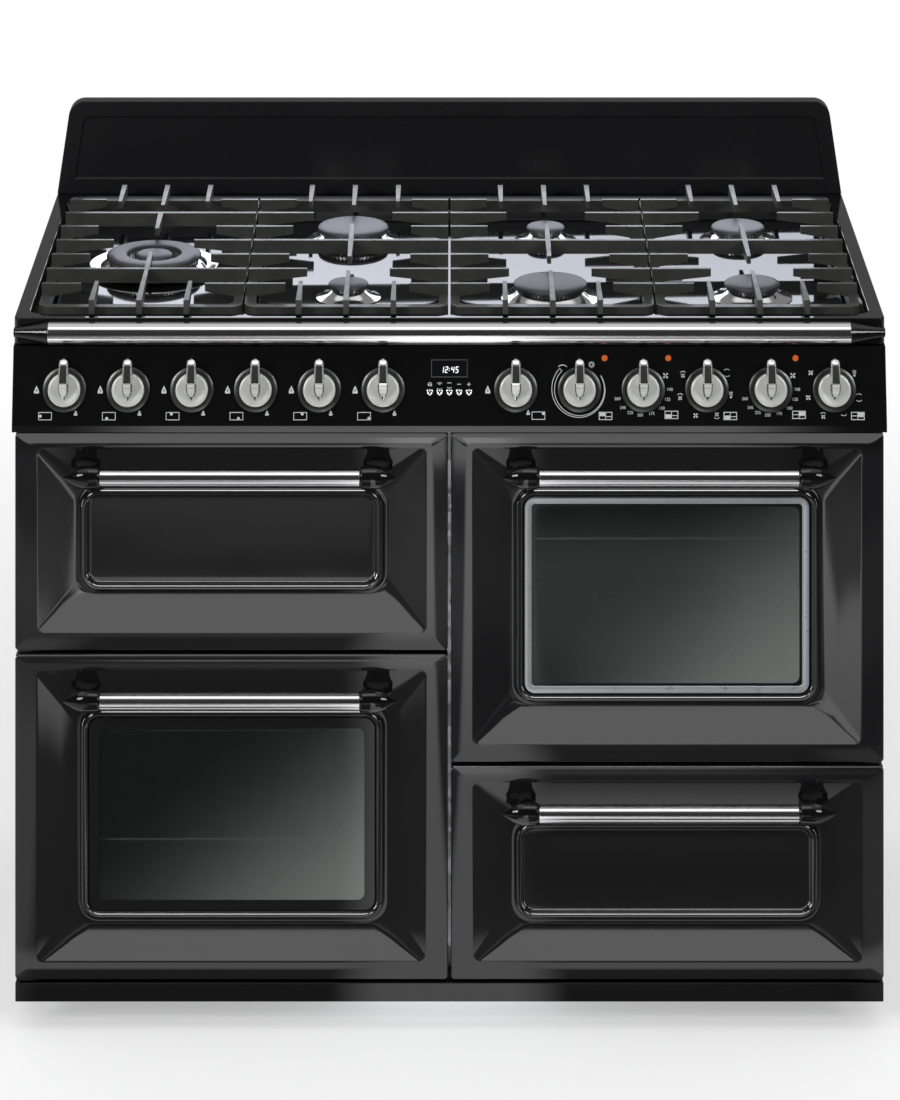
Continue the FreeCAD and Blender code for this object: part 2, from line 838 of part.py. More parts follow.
def make_outer_panels():
    """The two side panels and the back panel."""
    low = S.foot_length
    height = TRAY_LOW - low
    pieces = []
    for x in (-S.width / 2, INSIDE):
        pieces.append(block("side_panel", x, CHASSIS, low, S.sheet, BACK - CHASSIS, height))
    pieces.append(block("back_panel", -INSIDE, BACK - S.sheet, low, 2 * INSIDE, S.sheet, height))
    keep("outer_panels", group("outer_panels", pieces))


def make_plinth():
    """A folded strip under the doors."""
    low = S.foot_length
    top = low + S.plinth_height
    face = block("plinth_face", -INSIDE, FRONT + S.sheet, low, 2 * INSIDE, S.sheet, S.plinth_height)
    shelf = block("plinth_shelf", -INSIDE, FRONT + S.sheet, top - S.sheet,
                  2 * INSIDE, CHASSIS - FRONT - S.sheet, S.sheet)
    keep("plinth", fuse("plinth", [face, shelf]))


def make_feet():
    """Four levelling feet."""
    pad_height = S.foot_pad
    bevel = S.foot_bevel
    profile = [(0, 0), (S.foot_radius - bevel, 0), (S.foot_radius, bevel),
               (S.foot_radius, pad_height - bevel), (S.foot_stem + S.foot_waist, pad_height),
               (S.foot_stem, pad_height + S.foot_waist),
               (S.foot_stem, S.foot_length), (0, S.foot_length)]
    feet = []
    for side in (-1, 1):
        for y in (FRONT + S.foot_front, BACK - S.foot_inset):
            foot = turned("levelling_foot", profile)
            feet.append(place(foot, side * (S.width / 2 - S.foot_inset), y, 0))
    keep("levelling_feet", group("levelling_feet", feet))


# ---- control panel ----

LEAN_HEIGHT = TRAY_LOW - PANEL_LOW - S.panel_lip
LEAN = math.atan2(S.panel_lean.value, LEAN_HEIGHT.value)
PANEL_TURN = FreeCAD.Rotation(ABOUT_X, 90 - math.degrees(LEAN))


def on_panel(thing, x, height, stand=0, aside=0):
    """Stand a thing on the leaning face: its Z looks out, its Y up the face."""
    face_y = FRONT - S.panel_lean * (TRAY_LOW - height) / LEAN_HEIGHT
    stand = as_size(stand)
    y = face_y - stand * math.cos(LEAN)
    z = height + stand * math.sin(LEAN)
    if aside:
        y = y + as_size(aside) * math.sin(LEAN)
        z = z + as_size(aside) * math.cos(LEAN)
    return place(thing, x, y, z, PANEL_TURN)


def knob_places():
    """The X of each knob from left to right."""
    right = [S.knob_first + number * S.knob_pitch for number in range(6)]
    return [-x for x in reversed(right)] + right


def panel_rod(name, x, height, low, high, radius):
    cylinder = doc.addObject("Part::Cylinder", name)
    bind(cylinder, "Radius", radius)
    bind(cylinder, "Height", as_size(high) - low)
    return on_panel(cylinder, x, height, low)


def panel_block(name, x, height, low, high, width, tall):
    """A box on the panel's face, with its middle at x and height."""
    box = doc.addObject("Part::Box", name)
    bind(box, "Length", width)
    bind(box, "Width", tall)
    bind(box, "Height", as_size(high) - low)
    return on_panel(box, x - as_size(width) / 2, height, low, -as_size(tall) / 2)


LAMP_KNOBS = (7, 8, 10)


def lamp_places():
    """The X of each pilot lamp, to the right of its knob."""
    places = knob_places()
    return [places[number] + S.lamp_aside for number in LAMP_KNOBS]


def button_places():
    """The X of each button, the third of the five in the middle."""
    return [number * S.button_pitch for number in range(-2, 3)]


def make_control_panel():
    """A folded fascia that leans out to a lip over the doors."""
    body = new_body("fascia")
    sheet = S.panel_sheet
    lip = FRONT - S.panel_lean
    outer = [(CHASSIS, PANEL_LOW), (lip, PANEL_LOW), (lip, PANEL_LOW + S.panel_lip),
             (FRONT, TRAY_LOW), (CHASSIS, TRAY_LOW)]
    inner = [(CHASSIS + sheet, PANEL_LOW + sheet), (lip + sheet, PANEL_LOW + sheet),
             (lip + sheet, PANEL_LOW + S.panel_lip), (FRONT + sheet, TRAY_LOW - sheet),
             (CHASSIS + sheet, TRAY_LOW - sheet)]
    profile = side_sketch(body, -S.width / 2)
    polygon(profile, outer)
    pad(body, profile, S.width)
    hollow = side_sketch(body, -S.width / 2 + sheet)
    polygon(hollow, inner)
    pocket(body, hollow, S.width - 2 * sheet, along_normal=True)
    deep = -4 * sheet
    holes = [panel_rod("knob_hole", x, S.knob_height, deep, sheet, S.stem_hole) for x in knob_places()]
    for x in button_places():
        holes.append(panel_rod("button_hole", x, S.button_height, deep, sheet,
                               S.button_radius + S.button_play))
    for x in lamp_places():
        holes.append(panel_rod("lamp_hole", x, S.lamp_height, deep, sheet,
                               S.lamp_radius + S.lens_play))
    holes.append(panel_block("clock_hole", 0, S.clock_height, deep, sheet,
                             S.clock_width + 2 * S.lens_play, S.clock_tall + 2 * S.lens_play))
    keep("control_panel", cut("control_panel", body, holes))


def make_lenses():
    """The clock window and the three pilot lamp lenses."""
    lenses = [panel_block("clock_lens", 0, S.clock_height, -S.panel_sheet, S.lens_proud,
                          S.clock_width, S.clock_tall)]
    for x in lamp_places():
        lenses.append(panel_rod("lamp_lens", x, S.lamp_height, -S.panel_sheet, S.lens_proud, S.lamp_radius))
    keep("panel_lenses", group("panel_lenses", lenses))


def make_buttons():
    for number, x in enumerate(button_places(), start=1):
        button = panel_rod(f"clock_button_{number}", x, S.button_height,
                           S.button_proud - S.button_length, S.button_proud, S.button_radius)
        keep(f"clock_button_{number}", button)


def grip_outline(base):
    """The lever seen from its side, from its tail along its underside to its beak and back."""
    beak = S.grip_beak
    brow = S.grip_brow
    high = S.grip_height
    return [(-S.grip_tail, base), (S.disc_radius - S.grip_root, base),
            (beak - S.grip_bevel, base + S.grip_toe), (beak, base + S.grip_chin),
            (beak - brow, high - S.grip_fall), (S.disc_radius - brow, high),
            (-S.grip_bevel, high), (S.grip_bevel - S.grip_tail, base + S.grip_chin)]


def make_knob(name, x):
    """A stepped disc with a lever grip across it and its stem behind."""
    body = new_body(name)
    sketch = front_sketch(body)
    stem_end = -S.stem_length
    low = S.knob_gap
    skirt = low + S.skirt_height
    disc = low + S.disc_height
    polygon(sketch, [(0, stem_end), (S.stem_radius, stem_end), (S.stem_radius, low), (S.skirt_radius, low),
                     (S.skirt_radius, skirt), (S.disc_radius, skirt + S.disc_step),
                     (S.disc_radius - S.disc_bevel, disc), (0, disc)])
    turn = body.newObject("PartDesign::Revolution", f"{name}_turn")
    turn.Profile = sketch
    turn.ReferenceAxis = (sketch, ["V_Axis"])
    turn.Angle = 360
    grip = side_sketch(body, -S.grip_width / 2)
    polygon(grip, grip_outline(disc - S.grip_seat))
    pad(body, grip, S.grip_width)
    keep(name, on_panel(body, x, S.knob_height))


def make_valves():
    """The gas taps and oven switches that the knob stems turn in."""
    valves = []
    for x in knob_places():
        low = S.knob_height - S.valve_drop - S.valve_height / 2
        case = block("valve_case", x - S.valve_width / 2, CHASSIS - S.valve_depth, low,
                     S.valve_width, S.valve_depth, S.valve_height)
        deep = -S.stem_length - S.stem_end_play
        bore = panel_rod("valve_bore", x, S.knob_height, deep, 0, S.stem_radius + S.running_play)
        valves.append(cut("valve", case, [bore]))
    keep("control_valves", group("control_valves", valves))


# ---- hob ----

def make_tray():
    """The enamelled hob tray with a sunk pan."""
    body = new_body("hob_tray")
    half = S.width / 2
    deep = S.body_depth - S.tray_setback

    def outline(z, inset, back, corner):
        sketch = level_sketch(body, z)
        rounded_rectangle(sketch, -half + inset, half - inset, inset, deep - back, corner)
        return sketch

    pad(body, outline(0, 0, 0, S.tray_corner), S.tray_depth)
    top = outline(S.tray_depth, S.pan_rim, S.pan_back, S.grate_corner)
    floor = outline(S.tray_depth - S.pan_drop, S.pan_rim + S.pan_slope, S.pan_back + S.pan_slope,
                    S.grate_corner)
    loft(body, "Subtractive", top, floor)
    under = outline(0, S.tray_wall, S.tray_wall, S.tray_corner)
    pocket(body, under, S.tray_depth - S.pan_drop - S.pan_sheet, along_normal=True)
    keep("hob_tray", place(body, 0, TRAY_FRONT, TRAY_LOW))


def make_rail():
    """The steel bullnose along the hob's front edge and its two cast ends."""
    length = S.width - 2 * S.cap_length
    low = TRAY_LOW + S.rail_low
    rail = new_body("front_rail")
    profile = side_sketch(rail)
    bullnose(profile, 0, S.rail_height, S.rail_flat)
    pad(rail, profile, length)
    keep("front_rail", place(rail, -length / 2, TRAY_FRONT, low))
    ends = []
    for side in (-1, 1):
        body = new_body("rail_end")
        start = side_sketch(body)
        bullnose(start, 0, S.rail_height, S.rail_flat)
        tip = side_sketch(body, side * S.cap_length)
        middle = S.rail_height / 2
        bullnose(tip, middle - S.cap_tip / 2, middle + S.cap_tip / 2, S.cap_tip_flat)
        loft(body, "Additive", start, tip)
        ends.append(place(body, side * length / 2, TRAY_FRONT, low))
    keep("rail_ends", group("rail_ends", ends))


def make_upstand():
    """The rear upstand: a flared plate with a sunk field."""
    body = new_body("upstand")
    half = S.width / 2
    top = half - S.upstand_lean
    height = S.upstand_height
    plate = front_sketch(body, S.upstand_depth)
    polygon(plate, [(-half, 0), (half, 0), (top, height), (-top, height)])
    plate_pad = pad(body, plate, S.upstand_depth)

    def top_corner(edge):
        ends = [vertex.Point for vertex in edge.Vertexes]
        across = len(ends) == 2 and abs(ends[0].x - ends[1].x) < 0.01
        return across and all(abs(end.z - height.value) < 0.01 for end in ends)

    round_edges(body, plate_pad, top_corner, S.upstand_corner)
    border = S.upstand_border
    slope = S.upstand_lean / S.upstand_height
    field = front_sketch(body)
    low_half = half - border - slope * border
    top_half = top - border + slope * border
    polygon(field, [(-low_half, border), (low_half, border),
                    (top_half, height - border), (-top_half, height - border)])
    field_pocket = pocket(body, field, S.upstand_sunk)

    def field_corner(edge):
        ends = [vertex.Point for vertex in edge.Vertexes]
        if len(ends) != 2 or abs(ends[0].x - ends[1].x) > 0.01 or abs(ends[0].z - ends[1].z) > 0.01:
            return False
        in_front = max(ends[0].y, ends[1].y) < S.upstand_sunk.value + 0.01
        return in_front and abs(ends[0].x) < top_half.value + border.value / 2

    round_edges(body, field_pocket, field_corner, S.upstand_corner / 2)
    hollow = level_sketch(body)
    wall = S.upstand_wall
    rectangle(hollow, border - top, top - border, S.upstand_sunk + wall, S.upstand_depth - wall)
    pocket(body, hollow, height - wall, along_normal=True)
    keep("upstand", place(body, 0, BACK - S.upstand_depth, S.hob_height))


# ---- pan supports ----

HEADING = {"back": 0, "left": 90, "front": 180, "right": -90}


def finger(x, y, heading, length):
    """A tapered blade that points one way from its root."""
    blade = doc.addObject("Part::Wedge", "finger")
    root = S.finger_width / 2
    tip = S.finger_tip / 2
    limits = {
        "Xmin": -root, "Xmax": root, "X2min": -tip, "X2max": tip,
        "Ymin": 0, "Ymax": length,
        "Zmin": S.finger_low, "Zmax": S.grate_top,
        "Z2min": S.finger_low + S.finger_rise, "Z2max": S.grate_top,
    }
    for prop, size in limits.items():
        bind(blade, prop, size)
    return place(blade, x, y, 0, FreeCAD.Rotation(ABOUT_Z, HEADING[heading]))


def cross_bar(x0, x1, y0, y1):
    """An upright bar of the grate between two places."""
    low = S.finger_low
    return block("cross_bar", x0, y0, low, as_size(x1) - x0, as_size(y1) - y0, S.grate_top - low)


def column_place(number):
    """The X of one of the four columns of burners, counted from 1 at the left."""
    return (2 * number - 5) * S.grate_pitch / 2


def make_grate(number, wok):
    """A cast pan support: a low ring on four feet, with bars and tapered fingers."""
    name = f"pan_support_{number}"
    half_x = S.grate_width / 2
    half_y = GRATE_LENGTH / 2
    thick = S.finger_width / 2
    ring = new_body(f"{name}_ring")
    outline = level_sketch(ring, S.grate_low)
    rounded_rectangle(outline, -half_x, half_x, -half_y, half_y, S.grate_corner)
    bar = S.grate_bar
    inner = S.grate_corner - bar / 2
    rounded_rectangle(outline, bar - half_x, half_x - bar, bar - half_y, half_y - bar, inner)
    pad(ring, outline, S.grate_ring)
    pieces = [ring]
    inset = S.grate_foot_inset
    for side_x in (-1, 1):
        for side_y in (-1, 1):
            pieces.append(rod("grate_foot", side_x * (half_x - inset), side_y * (half_y - inset), 0,
                              S.grate_foot, S.grate_low + S.grate_ring / 2))
    row = S.finger_row
    full_rows = (-2, 2) if wok else (0,)
    long_rows = (0,) if wok else (-2, 2)
    for step in range(-3, 4):
        y = step * row
        if step in full_rows:
            pieces.append(cross_bar(-half_x, half_x, y - thick, y + thick))
            continue
        length = S.finger_long if step in long_rows else S.finger_short
        pieces.append(finger(-half_x, y, "right", length))
        pieces.append(finger(half_x, y, "left", length))
    end = half_y + S.finger_reach
    for x in (-S.finger_column, S.finger_column):
        pieces.append(finger(x, -end, "back", row + S.finger_reach))
        pieces.append(finger(x, end, "front", row + S.finger_reach))
    near_end = end - 2 * row if wok else end - S.burner_offset - S.finger_reach / 2
    pieces.append(finger(0, -end, "back", near_end))
    pieces.append(finger(0, end, "front", row + 2 * S.finger_reach))
    root = 2 * row if wok else 0
    pieces.append(finger(0, -root, "back", S.finger_long))
    pieces.append(finger(0, root, "front", S.finger_long))
    keep(name, place(fuse(name, pieces), column_place(number), GRATE_Y, PAN))


# ---- burners ----

BURNERS = (
    (1, 0, "wok_radius"),
    (2, 1, "large_radius"),
    (2, -1, "small_radius"),
    (3, 1, "small_radius"),
    (3, -1, "large_radius"),
    (4, 1, "medium_radius"),
    (4, -1, "medium_radius"),
)


def cup_profile(radius):
    flare = S.cup_flare
    height = S.cup_height
    neck = radius - S.cup_neck
    return [(0, 0), (radius + flare, 0), (radius + flare - S.cup_slope, S.cup_foot),
            (neck + S.cup_foot, S.cup_waist), (neck, S.cup_waist + S.cap_bevel), (neck, height), (0, height)]


def cap_profile(radius, inner=0):
    low = S.cup_height
    high = low + S.cap_height
    bevel = S.cap_bevel
    return [(inner, low), (radius - bevel, low), (radius, low + bevel), (radius - S.cap_brow, high - bevel),
            (radius - S.cap_slope, high), (inner, high)]


def dish_profile(radius):
    """The wok burner's cup with the dish round it."""
    dish = S.wok_dish
    neck = radius - S.cup_neck
    return [(0, 0), (dish - S.dish_foot, 0), (dish, S.dish_lip), (dish - S.cap_brow, S.dish_rise),
            (radius + S.cap_bevel, S.dish_lip), (neck, S.dish_rise - S.cap_brow),
            (neck, S.cup_height), (0, S.cup_height)]


def make_burners():
    """Cups that stand on the pan and the caps that lie on them."""
    cups = []
    caps = []
    for column, row, size_name in BURNERS:
        radius = getattr(S, size_name)
        spot = (column_place(column), GRATE_Y + row * S.burner_offset, PAN)
        if size_name == "wok_radius":
            cup = dish_profile(radius)
            caps.append(place(turned("wok_ring", cap_profile(radius, S.wok_hole)), *spot))
            caps.append(place(turned("wok_core", cap_profile(S.wok_core)), *spot))
        else:
            cup = cup_profile(radius)
            caps.append(place(turned("burner_cap", cap_profile(radius)), *spot))
        cups.append(place(turned("burner_cup", cup), *spot))
    keep("burner_cups", group("burner_cups", cups))
    keep("burner_caps", group("burner_caps", caps))


# ---- the whole cooker ----

def make_cooker():
    make_chassis()
    make_outer_panels()
    make_plinth()
    make_feet()
    for place_name, door in DOORS.items():
        make_door(place_name, door)
        make_liner(f"{place_name}_liner", door, ledges=door.window)
    make_seals()
    make_shelf("left_oven_shelf", DOORS["left_oven"], 0)
    make_shelf("right_oven_shelf", DOORS["right_oven"], 2)
    make_elements()
    make_control_panel()
    make_lenses()
    make_buttons()
    for number, x in enumerate(knob_places(), start=1):
        make_knob(f"knob_{number:02d}", x)
    make_valves()
    make_tray()
    make_rail()
    make_upstand()
    for number in range(1, 5):
        make_grate(number, wok=number == 1)
    make_burners()


def check_objects():
    """Stop if any object failed or any sub-part is not a valid solid."""
    for thing in doc.Objects:
        if "Invalid" in thing.State or "Error" in thing.State:
            raise RuntimeError(f"{thing.Name} failed: {thing.State}")
    for name, thing in nodes.items():
        shape = thing.Shape
        if shape.isNull() or not shape.isValid() or not shape.Solids:
            raise RuntimeError(f"{name} has no valid shape")


def write_parts():
    os.makedirs("parts", exist_ok=True)
    for name, thing in nodes.items():
        thing.Shape.exportStep(f"parts/{name}.step")
        box = thing.Shape.BoundBox
        print(f"{name}: {len(thing.Shape.Solids)} solids, {thing.Shape.Volume / 1000:.1f} cm3, "
              f"x {box.XMin:.1f} {box.XMax:.1f}, y {box.YMin:.1f} {box.YMax:.1f}, "
              f"z {box.ZMin:.1f} {box.ZMax:.1f}")


make_cooker()
doc.recompute()
check_objects()
write_parts()
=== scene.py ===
"""The looks of a black dual fuel range cooker, built round its CAD frame."""

import json
import math

import bmesh
import bpy
from mathutils import Matrix, Vector

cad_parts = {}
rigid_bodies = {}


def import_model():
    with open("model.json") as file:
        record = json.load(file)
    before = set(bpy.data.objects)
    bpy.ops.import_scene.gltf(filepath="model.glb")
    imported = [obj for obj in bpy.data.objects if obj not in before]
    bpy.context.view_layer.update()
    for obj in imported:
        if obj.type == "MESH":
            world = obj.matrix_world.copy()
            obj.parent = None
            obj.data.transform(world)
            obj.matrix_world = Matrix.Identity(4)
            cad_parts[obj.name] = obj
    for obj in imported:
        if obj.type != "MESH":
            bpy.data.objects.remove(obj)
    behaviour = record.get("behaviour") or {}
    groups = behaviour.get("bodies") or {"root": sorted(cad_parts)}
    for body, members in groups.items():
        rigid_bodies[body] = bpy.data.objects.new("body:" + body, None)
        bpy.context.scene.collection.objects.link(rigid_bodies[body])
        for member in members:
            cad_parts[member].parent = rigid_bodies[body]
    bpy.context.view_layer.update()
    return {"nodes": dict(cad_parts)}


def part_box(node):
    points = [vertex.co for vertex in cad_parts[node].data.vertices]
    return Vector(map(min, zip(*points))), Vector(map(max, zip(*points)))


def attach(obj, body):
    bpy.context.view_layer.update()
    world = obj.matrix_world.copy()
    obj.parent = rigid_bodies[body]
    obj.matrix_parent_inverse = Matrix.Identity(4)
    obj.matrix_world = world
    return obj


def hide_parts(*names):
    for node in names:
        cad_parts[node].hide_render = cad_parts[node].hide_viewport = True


bl_info = {
    "name": "Range cooker",
    "version": (1, 0, 0),
    "blender": (4, 5, 0),
    "location": "View3D > Sidebar > Range cooker",
    "description": "Builds the enamel, steel, glass and cast iron of a 110 cm range cooker",
    "category": "Object",
}

for leftover in list(bpy.data.objects):
    bpy.data.objects.remove(leftover)
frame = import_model()
NODES = frame["nodes"]

MM = 0.001
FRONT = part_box("grill_door_shell")[0].y
TO_FRONT = Vector((0, -1, 0))
PANEL_LOW, TRAY_LOW = (corner.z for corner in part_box("control_panel"))
PANEL_LEAN = 20 * MM
PANEL_LIP = 8 * MM
LEAN_HEIGHT = TRAY_LOW - PANEL_LOW - PANEL_LIP
LEAN = math.atan2(PANEL_LEAN, LEAN_HEIGHT)
CLOCK_LENS_END = 80 * MM
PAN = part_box("burner_cups")[0].z
BURNER_Y = sum(corner.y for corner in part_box("pan_support_2")) / 2
FLAT_TURN = math.radians(0.5)


# ---- sizes and colours that a user may change ----

def length_setting(name, description, default, low, high):
    return bpy.props.FloatProperty(name=name, description=description, default=default, min=low, max=high,
                                   subtype="DISTANCE", unit="LENGTH")


def colour_setting(name, description, default):
    return bpy.props.FloatVectorProperty(name=name, description=description, default=default, size=3,
                                         min=0, max=1, subtype="COLOR")


class CookerSizes(bpy.types.PropertyGroup):
    edge_round: length_setting("Edge round", "Radius on the pressed edges of the enamelled doors",
                               0.0018, 0.0005, 0.004)
    grate_round: length_setting("Casting round", "Radius on the edges of the cast pan supports",
                                0.0015, 0.0003, 0.003)
    print_lift: length_setting("Print lift", "How far the printed marks stand off the panel",
                               0.00012, 0.00005, 0.0005)
    flame_ports: bpy.props.IntProperty(
        name="Flame ports", description="Teeth round a medium burner", default=44, min=12, max=90)


class CookerColours(bpy.types.PropertyGroup):
    enamel: colour_setting("Enamel", "Colour of the gloss enamel", (0.0045, 0.0045, 0.005))
    iron: colour_setting("Cast iron", "Colour of the matt enamel on the pan supports", (0.05, 0.05, 0.047))
    ink: colour_setting("Ink", "Colour of the marks printed on the control panel", (0.72, 0.73, 0.74))
    steel: colour_setting("Steel", "Colour of the satin steel rail and handles", (0.62, 0.61, 0.62))
    glow: colour_setting("Pilot lamp", "Colour of the pilot lamps", (0.62, 0.13, 0.03))


def sizes():
    return bpy.context.scene.cooker_sizes


def colours():
    return bpy.context.scene.cooker_colours


# ---- shader helpers ----

def feed(tree, socket, value):
    """Link a socket to another node's output, or set it to a plain value."""
    if isinstance(value, bpy.types.NodeSocket):
        tree.links.new(value, socket)
    elif socket.type == "RGBA":
        socket.default_value = (*value[:3], 1)
    else:
        socket.default_value = value


def add_node(tree, kind, *inputs, **values):
    """A node with its first inputs in order; named values are settings, or inputs where capitalised."""
    node = tree.nodes.new(kind)
    for key, value in values.items():
        if key[0].isupper():
            feed(tree, node.inputs[key.replace("_", " ")], value)
        else:
            setattr(node, key, value)
    for socket, value in zip(node.inputs, inputs):
        feed(tree, socket, value)
    return node


def noise(tree, place, scale, detail=3.0, rough=0.5):
    return add_node(tree, "ShaderNodeTexNoise", Vector=place, Scale=scale, Detail=detail,
                    Roughness=rough).outputs["Fac"]


def remap(tree, source, low, high, to_low, to_high, kind="LINEAR"):
    return add_node(tree, "ShaderNodeMapRange", source, low, high, to_low, to_high,
                    interpolation_type=kind).outputs["Result"]


def spread(tree, source, low, high):
    """Two values over the middle range of a noise."""
    return remap(tree, source, 0.3, 0.7, low, high)


def ease(tree, source, low, high, to_low, to_high):
    """A remap that starts and ends softly."""
    return remap(tree, source, low, high, to_low, to_high, "SMOOTHSTEP")


def arithmetic(tree, kind, *values):
    """Fold two or more values with one operation."""
    whole = values[0]
    for value in values[1:]:
        whole = add_node(tree, "ShaderNodeMath", whole, value, operation=kind).outputs[0]
    return whole


def mix_colour(tree, share, first, second):
    node = add_node(tree, "ShaderNodeMix", share, data_type="RGBA")
    feed(tree, node.inputs[6], first)
    feed(tree, node.inputs[7], second)
    return node.outputs[2]


def bump(tree, height, strength, depth):
    """Relief with its depth in millimetres."""
    return add_node(tree, "ShaderNodeBump", Height=height, Strength=strength,
                    Distance=depth * MM).outputs["Normal"]


def object_place(tree):
    return add_node(tree, "ShaderNodeTexCoord").outputs["Object"]


def axes_of(tree, place):
    return add_node(tree, "ShaderNodeSeparateXYZ", place).outputs


# ---- shared effects: each gives a height, a tone and a change of gloss ----

def new_effect(name, **inputs):
    """A shader node group with these inputs; returns it, what it is given and what it gives."""
    tree = bpy.data.node_groups.new(name, "ShaderNodeTree")
    for key, value in inputs.items():
        kind = "NodeSocketVector" if isinstance(value, tuple) else "NodeSocketFloat"
        socket = tree.interface.new_socket(key, in_out="INPUT", socket_type=kind)
        socket.default_value = value
    for key in ("Height", "Tone", "Gloss"):
        tree.interface.new_socket(key, in_out="OUTPUT", socket_type="NodeSocketFloat")
    given = add_node(tree, "NodeGroupInput").outputs
    return tree, given, add_node(tree, "NodeGroupOutput").inputs


def enamel_skin():
    """Fired enamel: slow waves, fine orange peel and a faint change of gloss."""
    tree, given, gives = new_effect("enamel_skin", wave_scale=22.0, peel_scale=420.0, peel_share=0.15)
    place = object_place(tree)
    wave = noise(tree, place, given["wave_scale"], 2.0)
    peel = noise(tree, place, given["peel_scale"], 2.0)
    share = arithmetic(tree, "MULTIPLY", peel, given["peel_share"])
    feed(tree, gives["Height"], arithmetic(tree, "ADD", wave, share))
    feed(tree, gives["Tone"], noise(tree, place, scale=3.0, detail=4.0))
    feed(tree, gives["Gloss"], noise(tree, place, scale=9.0, detail=5.0, rough=0.6))
    return tree


def brushed_lines():
    """Brushed metal: long fine lines along X, with slow blotches in their tone."""
    tree, given, gives = new_effect("brushed_lines", stretch=(3.0, 900.0, 900.0), blotch_scale=14.0)
    place = object_place(tree)
    stretched = add_node(tree, "ShaderNodeVectorMath", place, given["stretch"], operation="MULTIPLY")
    lines = noise(tree, stretched.outputs[0], scale=1.0, detail=4.0, rough=0.7)
    blotch = noise(tree, place, given["blotch_scale"])
    line_share, blotch_share = 0.7, 0.3
    streak = arithmetic(tree, "ADD", arithmetic(tree, "MULTIPLY", lines, line_share),
                        arithmetic(tree, "MULTIPLY", blotch, blotch_share))
    for key, value in (("Height", lines), ("Tone", streak), ("Gloss", streak)):
        feed(tree, gives[key], value)
    return tree


def casting_grain():
    """The grain of a sand casting under matt enamel, with its pits."""
    tree, given, gives = new_effect("casting_grain", grain_scale=700.0, pit_scale=260.0)
    place = object_place(tree)
    grain = noise(tree, place, given["grain_scale"], rough=0.6)
    pits = add_node(tree, "ShaderNodeTexVoronoi", Vector=place, Scale=given["pit_scale"])
    pit_edge, pit_share = 0.35, 0.35
    depth = ease(tree, pits.outputs["Distance"], 0.0, pit_edge, 0.0, 1.0)
    share = arithmetic(tree, "MULTIPLY", depth, pit_share)
    feed(tree, gives["Height"], arithmetic(tree, "ADD", grain, share))
    mottle = noise(tree, place, scale=45.0, detail=5.0, rough=0.65)
    for key in ("Tone", "Gloss"):
        feed(tree, gives[key], mottle)
    return tree


EFFECTS = {maker.__name__: maker for maker in (enamel_skin, brushed_lines, casting_grain)}


def use_effect(tree, name, **values):
    """Place a shared effect in a material with its own values."""
    node = add_node(tree, "ShaderNodeGroup", node_tree=bpy.data.node_groups.get(name) or EFFECTS[name]())
    for key, value in values.items():
        node.inputs[key].default_value = value
    return node.outputs


def blank_material(name, **constants):
    """A material with one Principled shader that holds these constants."""
    material = bpy.data.materials.new(name)
    material.use_nodes = True
    tree = material.node_tree
    tree.nodes.clear()
    shader = add_node(tree, "ShaderNodeBsdfPrincipled", **constants)
    add_node(tree, "ShaderNodeOutputMaterial", shader.outputs["BSDF"])
    return material, tree, shader.inputs


def dress(tree, shader, colour, rough, normal=None):
    """Feed the colour, roughness and relief of a finish."""
    feed(tree, shader["Base Color"], colour)
    feed(tree, shader["Roughness"], rough)
    if normal:
        feed(tree, shader["Normal"], normal)


def scaled(colour, share):
    return tuple(channel * share for channel in colour)


def tones(low, high):
    """Two colours as they are, or a user's colour by name and the two shares of it."""
    if isinstance(low, str):
        base = tuple(getattr(colours(), low))
        return scaled(base, high[0]), scaled(base, high[1])
    return low, high


def surface(name, effect, tone, rough, relief, **values):
    """A finish whose colour, gloss and relief follow one effect.

    Capitalised values are the shader's constants, and the others are the effect's inputs.
    """
    constants = {key: values.pop(key) for key in list(values) if key[0].isupper()}
    material, tree, shader = blank_material(name, **constants)
    skin = use_effect(tree, effect, **values)
    dress(tree, shader, mix_colour(tree, skin["Tone"], *tones(*tone)),
          spread(tree, skin["Gloss"], *rough), relief and bump(tree, skin["Height"], *relief))
    return material


# ---- finishes ----

ENAMEL, CASTING, BRUSHED = "enamel_skin", "casting_grain", "brushed_lines"
PLASTIC, GLASS, METAL = {"IOR": 1.49}, {"IOR": 1.5}, {"Metallic": 1.0}

